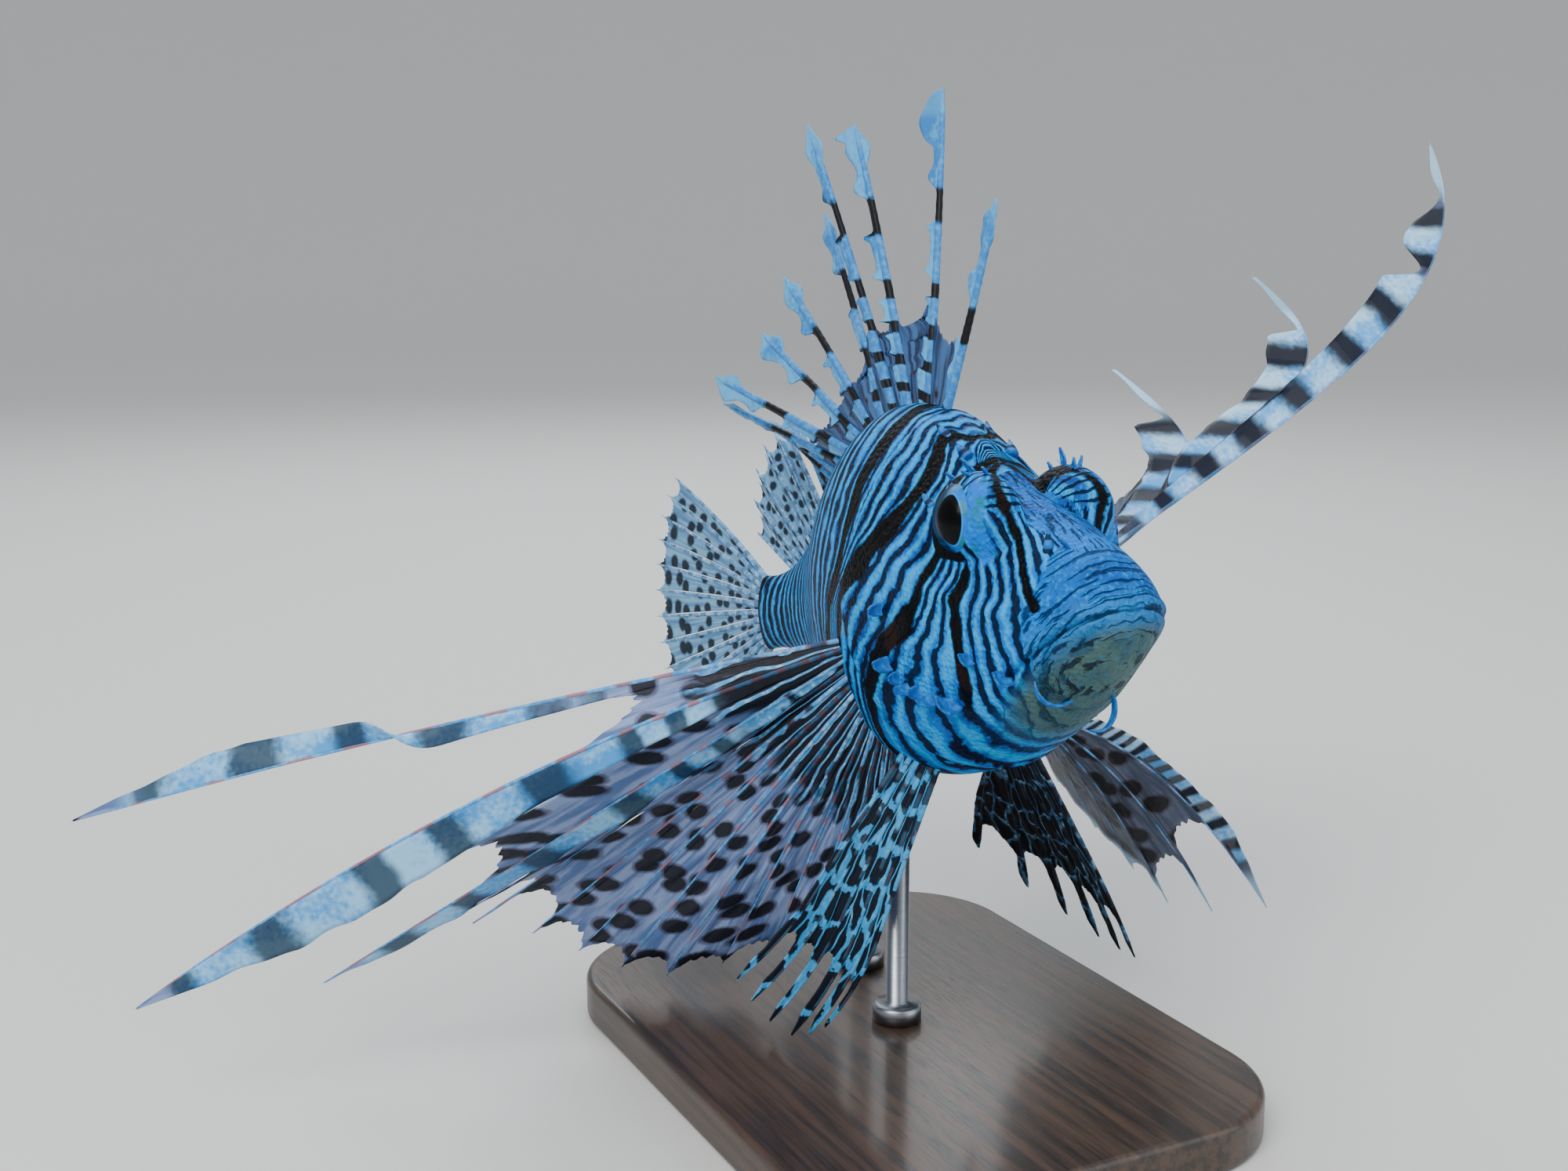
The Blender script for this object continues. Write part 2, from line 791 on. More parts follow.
@dataclass(frozen=True)
class EyeFinish:
    """Glossy eyeball: black pupil in a thin rim, in an iris that is bright blue only in front of it."""

    pupil: Colour = linear(2, 3, 5)
    rim: Colour = linear(20, 140, 220)
    iris: Colour = linear(0, 112, 218)
    iris_green: Colour = linear(18, 120, 150)
    iris_shade: Colour = linear(40, 78, 126)
    iris_dark: Colour = linear(8, 12, 24)
    roughness: float = 0.3
    gloss: float = 0.08
    coat: float = 0.08
    coat_roughness: float = 0.05

    def material(self, name: str) -> bpy.types.Material:
        """Reads the point value gaze.

        It is the distance from the pupil's middle (1 at its edge), the turn round it, and how
        far the point lies forward.

        Args:
            name: The material's name.

        Returns:
            The material.
        """
        tree = Tree(name)
        reach, turn, forward = tree.own("gaze")
        place = tree.place()
        fine = tree.noise(place, 0.9, 4.0)
        streaks = tree.noise(tree.vector(turn * 2.4, reach * 0.8), 1.0, 3.0)
        patches = tree.noise(place, 0.28, 2.0)
        tone = tree.blend(patches.step(0.42, 0.6), self.iris, self.iris_green)
        tone = tree.blend(streaks.step(0.5, 0.66) * 0.7, tone, self.iris_shade)
        tone = tree.blend(fine.step(0.5, 0.7) * 0.4, tone, self.rim)
        tone = tree.blend((reach + (streaks - 0.5) * 1.2).step(2.3, 2.9), tone, self.iris_dark)
        tone = tree.blend((reach - 1.05).step(-0.05, 0.0) * (reach - 1.05).step(0.09, 0.02), tone, self.rim)
        tone = tree.blend(forward.step(0.3, 0.0) * 0.9, tone, self.iris_dark)
        tone = tree.blend(reach.step(1.03, 0.98), tone, self.pupil)
        return tree.finish({
            "Base Color": tone,
            "Roughness": self.roughness,
            "Specular IOR Level": self.gloss,
            "Coat Weight": self.coat,
            "Coat Roughness": self.coat_roughness,
        })


@dataclass(frozen=True)
class FinFinish:
    """A fin's rays, free banners and membrane.

    Point values are ray (x: ray number and share to the next, y: millimetres from the root,
    z: count of dark bands, whole on a band's middle) and part (x: 1 on a ray, 0 on membrane,
    y: share of the way to the tip, z: 1 where the fin is a free banner).
    """

    web: Colour = linear(150, 146, 172)
    web_shade: Colour = linear(104, 108, 146)
    spot: Colour = linear(8, 12, 22)
    spot_rim: Colour = linear(62, 50, 66)
    light: Colour = linear(112, 182, 236)
    white: Colour = linear(196, 228, 250)
    dark: Colour = linear(5, 8, 16)
    dash: Colour = linear(178, 92, 56)
    vein: Colour = linear(70, 150, 212)
    dark_share: float = 0.4
    band_softness: float = 0.05
    band_strength: float = 1.0
    ray_bands: float = 1.0
    spot_length: float = 9.5
    spot_reach: float = 0.34
    base_reach: float = 0.0
    dash_strength: float = 0.5
    opacity: float = 0.86
    band_opacity: float = 1.0
    white_tip: float = 0.0
    net: float = 0.0
    net_width: float = 0.09
    bare_rays: float = 0.5

    def material(self, name: str) -> bpy.types.Material:
        """Cross-bands on rays and banners, spots on membrane, and a dark veined base.

        Args:
            name: The material's name.

        Returns:
            The material.
        """
        tree = Tree(name)
        ray, run, count = tree.own("ray")
        on_ray, reach, banner = tree.own("part")
        place = tree.place()
        fine = tree.noise(place, 0.8, 4.0)
        warp = tree.noise(place, 0.09, 2.0) - 0.5
        half = self.dark_share / 2
        soft = self.band_softness
        away = (count + warp * 0.35).to_nearest() + (fine - 0.5) * 0.06
        bands = away.step(half + soft, half - soft)
        flat = {"voronoi_dimensions": "2D"}
        cells = tree.cells(tree.vector(ray, run / self.spot_length), 1.0, flat) + (fine - 0.5) * 0.1
        spots = cells.step(self.spot_reach, self.spot_reach - 0.08)
        rims = cells.step(self.spot_reach + 0.07, self.spot_reach)
        streaks = tree.noise(tree.vector(ray * 5.0, run * 0.05, warp), 1.0, 3.0)
        web = tree.blend(streaks.step(0.4, 0.62), self.web, self.web_shade)
        web = tree.blend(rims * 0.6, web, self.spot_rim)
        web = tree.blend(spots * 0.94, web, self.spot)
        free = tree.blend((streaks + fine * 0.5).step(0.6, 0.9), self.light, self.white)
        free = tree.blend(bands * self.band_strength, free, self.dark)
        tone = tree.blend(banner, web, free)
        stiff = tree.blend(fine.step(0.4, 0.7) * 0.6, self.light, self.white)
        dashes = (count * 1.37 + 0.4 + warp).to_nearest().step(0.24, 0.16)
        stiff = tree.blend(dashes * self.dash_strength, stiff, self.dash)
        stiff = tree.blend(bands * self.ray_bands, stiff, self.dark)
        tone = tree.blend(on_ray, tone, stiff)
        near = (run + (streaks - 0.5) * 26.0).step(self.base_reach * 1.1 + 0.2, self.base_reach * 0.8 + 0.1)
        if self.net > 0:
            bent = tree.vector(ray * 1.7 + warp * 2.0, run / self.net + fine * 0.4)
            borders = {"voronoi_dimensions": "2D", "feature": "DISTANCE_TO_EDGE"}
            veins = tree.cells(bent, 1.0, borders) + (fine - 0.5) * 0.1 + warp * 0.1
            veins = veins.step(self.net_width + 0.03, self.net_width - 0.03)
        else:
            veins = ((ray * 1.5 + warp * 1.3).to_nearest() + (fine - 0.5) * 0.1).step(0.16, 0.1)
        base = tree.blend(veins, self.dark, tree.blend(fine.step(0.45, 0.7), self.vein, self.white))
        tone = tree.blend(near * (1.0 - on_ray * self.bare_rays), tone, base)
        tone = tree.blend(reach.step(0.89, 0.94) * self.white_tip, tone, self.white)
        clear = (1.0 - banner) * (1.0 - self.opacity) + banner * bands * (1.0 - self.band_opacity)
        solid = 1.0 - clear * (1.0 - on_ray) * (1.0 - spots * 0.7) * (1.0 - near)
        return tree.finish({
            "Base Color": tone,
            "Roughness": 0.42 + fine * 0.2,
            "Specular IOR Level": 0.25,
            "Alpha": solid,
            "Normal": tree.bump(fine * 0.4 + streaks, 0.0005, 0.6),
        })


@dataclass(frozen=True)
class WoodFinish:
    """Dark oiled wood with grain along the base."""

    light: Colour = linear(74, 55, 42)
    dark: Colour = linear(36, 27, 22)

    def material(self, name: str) -> bpy.types.Material:
        """Stretched noise for the grain, with finer pores in it.

        Args:
            name: The material's name.

        Returns:
            The material.
        """
        tree = Tree(name)
        source = tree.place()
        along = tree.node("ShaderNodeMapping", None, {0: source, 3: (0.02, 0.45, 0.45)}).outputs[0]
        grain = tree.noise(along, 1.0, 5.0)
        pores = tree.noise(along, 6.0, 3.0).step(0.55, 0.7)
        tone = tree.blend(grain.step(0.35, 0.65), self.dark, self.light)
        tone = tree.blend(pores * 0.5, tone, self.dark)
        return tree.finish({
            "Base Color": tone,
            "Roughness": 0.36 + grain * 0.2,
            "Coat Weight": 0.3,
            "Coat Roughness": 0.15,
            "Normal": tree.bump(grain - pores * 0.5, 0.0002, 0.5),
        })


@dataclass(frozen=True)
class SteelFinish:
    """Brushed steel, with fine lines round the rod."""

    tone: Colour = linear(176, 180, 186)
    shade: Colour = linear(132, 136, 144)

    def material(self, name: str) -> bpy.types.Material:
        """Noise drawn out round the rod, so its lines lie across the height.

        Args:
            name: The material's name.

        Returns:
            The material.
        """
        tree = Tree(name)
        round_it = tree.node("ShaderNodeMapping", None, {0: tree.place(), 3: (0.15, 0.15, 6.0)}).outputs[0]
        brushed = tree.noise(round_it, 1.0, 3.0)
        return tree.finish({
            "Base Color": tree.blend(brushed, self.tone, self.shade),
            "Metallic": 1.0,
            "Roughness": 0.24 + brushed * 0.16,
            "Normal": tree.bump(brushed, 0.00008, 0.4),
        })


@dataclass(frozen=True)
class FloorFinish:
    """Plain pale studio floor."""

    tone: Colour = linear(214, 214, 212)
    shade: Colour = linear(200, 200, 198)

    def material(self, name: str) -> bpy.types.Material:
        """A plain matt tone with the slightest mottling.

        Args:
            name: The material's name.

        Returns:
            The material.
        """
        tree = Tree(name)
        mottle = tree.noise(tree.place(), 0.004, 2.0)
        return tree.finish({
            "Base Color": tree.blend(mottle * 0.08, self.tone, self.shade),
            "Roughness": 0.85,
        })


# The body's skin


@dataclass(frozen=True)
class Band:
    """A wide dark band: rows of angle from the back in degrees, station and half width."""

    rows: Rows

    def at(self, angle: Array) -> tuple[Array, Array]:
        """Station and half width of the band at each angle.

        Args:
            angle: Degrees from the back.

        Returns:
            The stations and the half widths.
        """
        values = smooth_curve(self.rows, angle)
        inside = smooth_step(-5, 0, angle - self.rows[0][0]) * smooth_step(-5, 0, self.rows[-1][0] - angle)
        return values[..., 0], values[..., 1] * inside - (1 - inside)


@dataclass
class Markings:
    """The body's bands, in order back along it, and the thin lines between them."""

    lore: Band = Band(((4, 37.5, 0.3), (12, 35.5, 0.8), (21, 28.8, 0.8), (30, 22.6, 0.8), (39, 19, 0.9),
                       (49, 16.4, 0.9), (61, 13.8, 1.0), (72, 11.6, 1.2), (76, 11, 0.8)))
    under_eye: Band = Band(((0, 30.5, -2), (50, 30, -1.6), (58, 28.2, 0.4), (64, 27.6, 1.4), (83, 28, 1.5),
                            (103, 28.6, 1.6), (118, 29.4, 1.4), (128, 31, 0.4)))
    cheek: Band = Band(((-4, 38.7, 0.4), (10, 38.3, 0.7), (24, 38.8, 0.9), (42, 38.5, 0.7), (54, 35.6, 1.0),
                        (63, 36, 1.2), (73, 37.3, 1.3), (83, 39.8, 1.4), (92, 43.5, 1.6), (98, 49.5, 1.6),
                        (107, 56, 1.7), (118, 62, 1.6), (140, 66, 1.2), (180, 66, 1.0)))
    nape: Band = Band(((-4, 44, 0.7), (8, 44, 0.9), (16, 47, 1.5), (22, 47, 1.7), (29, 45.4, 1.7),
                       (39, 45, 1.6), (49, 46.8, 1.6), (59, 50, 1.7), (68, 55, 1.8), (76, 60, 1.7),
                       (84, 66, 1.4), (96, 71, 1.2), (120, 75, 1.4), (180, 76, 1.4)))
    shoulder: Band = Band(((-4, 60.5, 2.3), (12, 62.2, 2.3), (24, 63, 2.4), (39, 64.8, 2.5), (49, 66.6, 2.5),
                           (61, 67.6, 1.9), (75, 70, 1.5), (90, 76, 1.4), (120, 84, 1.5), (180, 86, 1.5)))
    # Bands behind the shoulder: first and last station, number, and how far the flank lags.
    rear_first: float = 77
    rear_last: float = 186
    rear_count: int = 12
    rear_lag: float = 5
    lines_between: tuple[int, ...] = (5, 4, 4, 6, 3)
    lines_behind: int = 2
    front_spacing: float = 3.5
    # The gap between the cheek's band and the nape's, and its lines across the middle of the back.
    crown_gap: int = 2
    crown_lines: float = 2.0

    def guides(self, angle: Array) -> list[tuple[Array, Array]]:
        """Station and half width of every band, from the front, at each angle in degrees.

        Args:
            angle: Degrees from the back.

        Returns:
            A pair of arrays for each band.
        """
        named = [band.at(angle) for band in (self.lore, self.under_eye, self.cheek, self.nape, self.shoulder)]
        curve = np.sin(np.radians(np.clip(angle, 0, 180)))
        rear = []
        for k in range(self.rear_count):
            share = k / (self.rear_count - 1)
            start = mix(self.rear_first, self.rear_last, share**0.92)
            lag = self.rear_lag * (1 - 0.6 * share) * curve + (6 - 6 * share) * smooth_step(60, 150, angle)
            wide = (1.5 if k % 2 else 0.5) * (1 - 0.3 * share) * (0.8 + 0.3 * np.sin(angle / 23 + 1.7 * k))
            rear.append((start + lag, wide))
        return named + rear

    def at(self, station: Array, angle: Array) -> tuple[Array, Array]:
        """The pattern at points of the skin.

        Args:
            station: Distances back from the snout.
            angle: Degrees from the back, on either side.

        Returns:
            The distance outside the nearest band, in millimetres and negative inside it,
            and the count of thin lines passed, whose whole numbers lie on lines.
        """
        guides = self.guides(angle)
        nearest = np.full(station.shape, 9.0)
        placed: list[Array] = []
        for stations, half in guides:
            slant = np.gradient(stations, axis=0) / np.maximum(np.gradient(angle, axis=0), 1e-6)
            slope = slant / 0.38
            nearest = np.minimum(nearest, np.abs(station - stations) / np.sqrt(1 + slope**2) - half)
            placed.append(stations if not placed else np.maximum(stations, placed[-1] + 2.5))
        count = np.minimum((station - placed[0]) / self.front_spacing, 0)
        for k in range(len(placed) - 1):
            lines = self.lines_between[k] if k < len(self.lines_between) else self.lines_behind
            share = np.clip((station - placed[k]) / (placed[k + 1] - placed[k]), 0, 1)
            fewer = (lines - self.crown_lines) * smooth_step(34, 12, angle) if k == self.crown_gap else 0
            count = count + (lines - fewer) * share + fewer * (share >= 1)
        return nearest, count


@dataclass
class Skin:
    """The whole body as one skin: head with eye mounds, lips and gill cover, trunk and tail."""

    around: int = 312
    stations: int = 300
    mound_side: float = 10.4
    mound_height: float = 16.6
    mound_length: float = 10.6
    mound_width: float = 7.4
    mound_depth: float = 9.4
    nose_crowding: float = 0.52
    flank_crowding: float = 0.125
    mouth_front: float = -1.2
    mouth_corner_height: float = -13
    mouth_corner: float = 20
    lip: float = 1.3
    gill_nape: float = 54
    gill_flank: float = 66
    gill_throat: float = 42
    gill_lift: float = 0.9
    # The bright patch ahead of the eye: station, angle and half sizes.
    patch: tuple[float, float, float, float] = (24.4, 43, 2.2, 12)
    bridge_angle: float = 26
    eye_lines: float = 15
    # Degrees down from the back of the cheek's ridge, at the snout.
    cheek_angle: float = 84
    # Radius of the dark ring round the eyeball, and the body's girth as a share of its width.
    shadow_reach: float = 8.3
    girth_share: float = 1.15
    socket_reach: float = 7.8
    socket_depth: float = 0.5
    markings: Markings = field(default_factory=Markings)

    def mouth_line(self, station: Array) -> Array:
        """Height of the mouth line: it falls as the 1.15th power of the way to its corner."""
        share = np.clip(station / self.mouth_corner, 0, 1.4)
        return mix(self.mouth_front, self.mouth_corner_height, share**1.15)

    def gill_edge(self, cosine: Array) -> Array:
        """Station of the gill cover's edge, furthest back on the flank."""
        end = np.where(cosine > 0, self.gill_nape, self.gill_throat)
        return mix(self.gill_flank, end, np.abs(cosine) ** 1.6)

    def mounds(self, station: Array, side: Array, height: Array, middle: Array) -> Array:
        """How much further out the eye mounds push each point, as a share of its distance.

        A ray from the section's middle through the point leaves each mound's elliptical
        section at the larger root of a quadratic. The share blends smoothly over the rim,
        and fades out at the mound's two ends, where its section shrinks to nothing.

        Args:
            station: Distances back from the snout.
            side: Distances to the left.
            height: Heights.
            middle: Heights of the widest line.

        Returns:
            The shares.
        """
        reach = np.zeros_like(side)
        squeeze = np.sqrt(np.clip(1 - ((station - EYE_STATION) / self.mound_length) ** 2, 1e-6, 1))
        wide = self.mound_width * squeeze
        deep = self.mound_depth * squeeze
        rise = height - middle
        for sign in (-1, 1):
            a = (side / wide) ** 2 + (rise / deep) ** 2
            centre_side = sign * self.mound_side
            centre_rise = self.mound_height - middle
            b = side * centre_side / wide**2 + rise * centre_rise / deep**2
            c = (centre_side / wide) ** 2 + (centre_rise / deep) ** 2 - 1
            inside = b**2 - a * c
            root = (b + np.sqrt(np.maximum(inside, 0))) / np.maximum(a, 1e-9)
            reach = np.maximum(reach, np.where(inside > 0, root, 0))
        excess = (np.minimum(reach, 2.5) - 1) * smooth_step(0.12, 0.36, squeeze)
        soft = 0.04
        return (excess + np.sqrt(excess**2 + soft**2)) / 2

    def relief(self, station: Array, cosine: Array, side: Array, height: Array, below: Array) -> Array:
        """How far the lips, gill cover, cheek ridge and eye sockets raise each point.

        Args:
            station: Distances back from the snout.
            cosine: Cosines of the angle from the back.
            side: Distances to the left.
            height: Heights.
            below: Heights above the mouth line, negative below it.

        Returns:
            Millimetres outwards, negative in the furrows.
        """
        near_mouth = smooth_step(self.mouth_corner + 3, self.mouth_corner - 2, station)
        lips = bell(np.abs(below), self.lip, 1.1) * 0.6
        groove = bell(below, 0, 0.5) * 0.7
        behind = station - self.gill_edge(cosine)
        lifted = smooth_step(-16, -1.5, behind) * smooth_step(0.4, -0.4, behind) * self.gill_lift
        degrees = np.degrees(np.arccos(np.clip(cosine, -1, 1)))
        ridge = bell(degrees, self.cheek_angle - 0.3 * station, 6) * 0.9
        ridge = ridge * smooth_step(8, 16, station) * smooth_step(58, 44, station)
        return near_mouth * (lips - groove) + lifted + ridge - self.socket(station, side, height)

    def pattern(
        self, station: Array, angle: Array, side: Array, height: Array, push: Array, below: Array
    ) -> dict[str, Array]:
        """The point values that the skin's finish reads.

        Args:
            station: Distances back from the snout.
            angle: Angles from the back round the left side, in radians.
            side: Distances to the left.
            height: Heights.
            push: The eye mounds' share at each point.
            below: Heights above the mouth line, negative below it.

        Returns:
            The four vectors that the finish names.
        """
        width = BODY.section(station)[2]
        degrees = np.degrees(np.where(angle > math.pi, FULL_TURN - angle, angle))
        mark, count = self.both_sides(station, degrees)
        shadow = bell(eye_distance(station, side, height), self.shadow_reach, 0.7)
        mark = mark - 5 * shadow * smooth_step(28, EYE_STATION, station)
        jaw = smooth_step(0.2, -4.6, below) * smooth_step(34, 19, station + 0.2 * below)
        lips = smooth_step(18, 9, station + 0.12 * below)
        bridge = smooth_step(self.bridge_angle + 8, self.bridge_angle - 8, degrees)
        bridge = bridge * smooth_step(4, 10, station) * smooth_step(38, 32, station)
        patch_station, patch_angle, patch_long, patch_tall = self.patch
        spot = ((station - patch_station) / patch_long) ** 2 + ((degrees - patch_angle) / patch_tall) ** 2
        spokes = np.arctan2(height - EYE_HEIGHT, EYE_STATION - station) / math.pi * self.eye_lines
        crown = smooth_step(0.02, 0.1, push) * smooth_step(44, 36, degrees) * smooth_step(16, 19, height)
        girth = width * self.girth_share
        return {
            "marks": stacked(mark, count, bridge * (1 - crown)),
            "flow": stacked(below, girth * np.radians(degrees), girth * np.radians(180 - degrees)),
            "face": stacked(station, lips, jaw),
            "brow": stacked(spokes, crown, smooth_step(1.25, 0.75, spot)),
        }

    def surface(self) -> Surface:
        """The skin as one grid of station and angle, with its pattern's values.

        Returns:
            The closed skin, in the fish's own frame.
        """
        share = np.linspace(0, 1, self.stations)
        along = BODY.length * mix(share, share**2, self.nose_crowding)
        turn = np.linspace(0, FULL_TURN, self.around, endpoint=False)
        turn = turn + self.flank_crowding * np.sin(2 * turn)
        angle, station = np.meshgrid(turn, along, indexing="ij")
        side, height = BODY.outline(station, angle)
        middle = BODY.section(station)[3]
        push = self.mounds(station, side, height, middle)
        side = side * (1 + push)
        height = middle + (height - middle) * (1 + push)
        below = height - self.mouth_line(station)
        grow = self.relief(station, np.cos(angle), side, height, below)
        scale = 1 + grow / np.maximum(np.hypot(side, height - middle), 1.5)
        side = side * scale
        height = middle + (height - middle) * scale
        values = self.pattern(station, angle, side, height, push, below)
        points = BODY.point(station, side, height)
        shell = Surface("skin_whole", Slot.SKIN)
        order = (1, 0, 2)
        shell.tube(points.transpose(order), {key: value.transpose(order) for key, value in values.items()})
        return shell

    def both_sides(self, station: Array, degrees: Array) -> tuple[Array, Array]:
        """The pattern on the right and left halves, each read from the back downwards.

        Args:
            station: Distances back from the snout.
            degrees: Degrees from the back, on either side.

        Returns:
            What the markings give at each point.
        """
        half = self.around // 2 + 1
        mark = np.empty_like(station)
        count = np.empty_like(station)
        mark[:half], count[:half] = self.markings.at(station[:half], degrees[:half])
        rest = slice(half, None)
        down = self.markings.at(station[rest][::-1], degrees[rest][::-1])
        mark[rest] = down[0][::-1]
        count[rest] = down[1][::-1]
        return mark, count

    def socket(self, station: Array, side: Array, height: Array) -> Array:
        """Depth of the soft furrow round each eyeball."""
        ring = bell(eye_distance(station, side, height), self.socket_reach, 0.45)
        return ring * self.socket_depth * (np.abs(side) > EYE_OUT)

    def build(self) -> bpy.types.Object:
        """The skin piece, standing for the body's nodes.

        Returns:
            The piece.
        """
        piece = self.surface().build()
        piece.data.materials.append(SkinFinish().material("skin_banded"))
        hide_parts("head", "lower_jaw", "trunk", "loin", "tail_stalk")
        return piece


@dataclass
class Eye:
    """One eyeball with a slightly raised cornea over its upright pupil."""

    side: Side
    radius: float = 7.85
    swell: float = 0.35
    rings: int = 96
    around: int = 96
    gaze: tuple[float, float, float] = (0.33, 0.94, 0.05)
    pupil_half_wide: float = 21
    pupil_half_tall: float = 35

    def build(self) -> bpy.types.Object:
        """The eyeball as a closed tube of rings round its sideways axis.

        Returns:
            The piece.
        """
        tilt = np.linspace(0.01, math.pi - 0.01, self.rings)[:, None]
        turn = np.linspace(0, FULL_TURN, self.around, endpoint=False)[None, :]
        sign = self.side.value
        direction = stacked(np.sin(tilt) * np.cos(turn), np.cos(tilt) * sign, np.sin(tilt) * np.sin(turn))
        gaze = unit(np.array([self.gaze[0], self.gaze[1] * sign, self.gaze[2]]))
        level = unit(np.cross(UP, gaze))
        upright = np.cross(gaze, level)
        ahead = direction @ gaze
        wide = np.degrees(np.arctan2(direction @ level, np.maximum(ahead, 0.02)))
        tall = np.degrees(np.arctan2(direction @ upright, np.maximum(ahead, 0.02)))
        reach = np.hypot(wide / self.pupil_half_wide, tall / self.pupil_half_tall)
        round_it = np.arctan2(tall / self.pupil_half_tall, wide / self.pupil_half_wide)
        swell = self.swell * smooth_step(1.8, 0.6, reach)
        centre = BODY.point(EYE_STATION, sign * EYE_OUT, EYE_HEIGHT)
        points = centre + direction * (self.radius + swell)[..., None]
        ball = Surface(f"eyeball_{self.side.name.lower()}", Slot.EYE)
        ball.tube(points, {"gaze": stacked(reach, round_it, direction[..., 0])})
        piece = ball.build()
        piece.data.materials.append(EyeFinish().material(f"eye_{self.side.name.lower()}_gloss"))
        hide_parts(f"eye_{self.side.name.lower()}")
        return piece


# Fins


@dataclass(frozen=True)
class Banding:
    """Where a fin's dark bands lie, as a count that is whole on each band's middle.

    Rows give the millimetres from the tip (or from the root) and the count there.
    """

    rows: Rows
    from_tip: bool = False
    spread: float = 1.0

    def count(self, index: int, t: Array, length: float) -> Array:
        """The count along one ray, moved a little differently on each.

        Args:
            index: The ray.
            t: Shares of its length.
            length: The ray's length.

        Returns:
            The count.
        """
        run = (1 - t) * length if self.from_tip else t * length
        shift = self.spread * math.modf(0.5 + 0.618 * index)[0]
        return smooth_curve(self.rows, run)[..., 0] + shift


class Edge(Enum):
    """The outline of a free banner along its ray."""

    NONE = "none"
    RIBBON = "ribbon"
    FINGER = "finger"
    CUT = "cut"
    LOBES = "lobes"


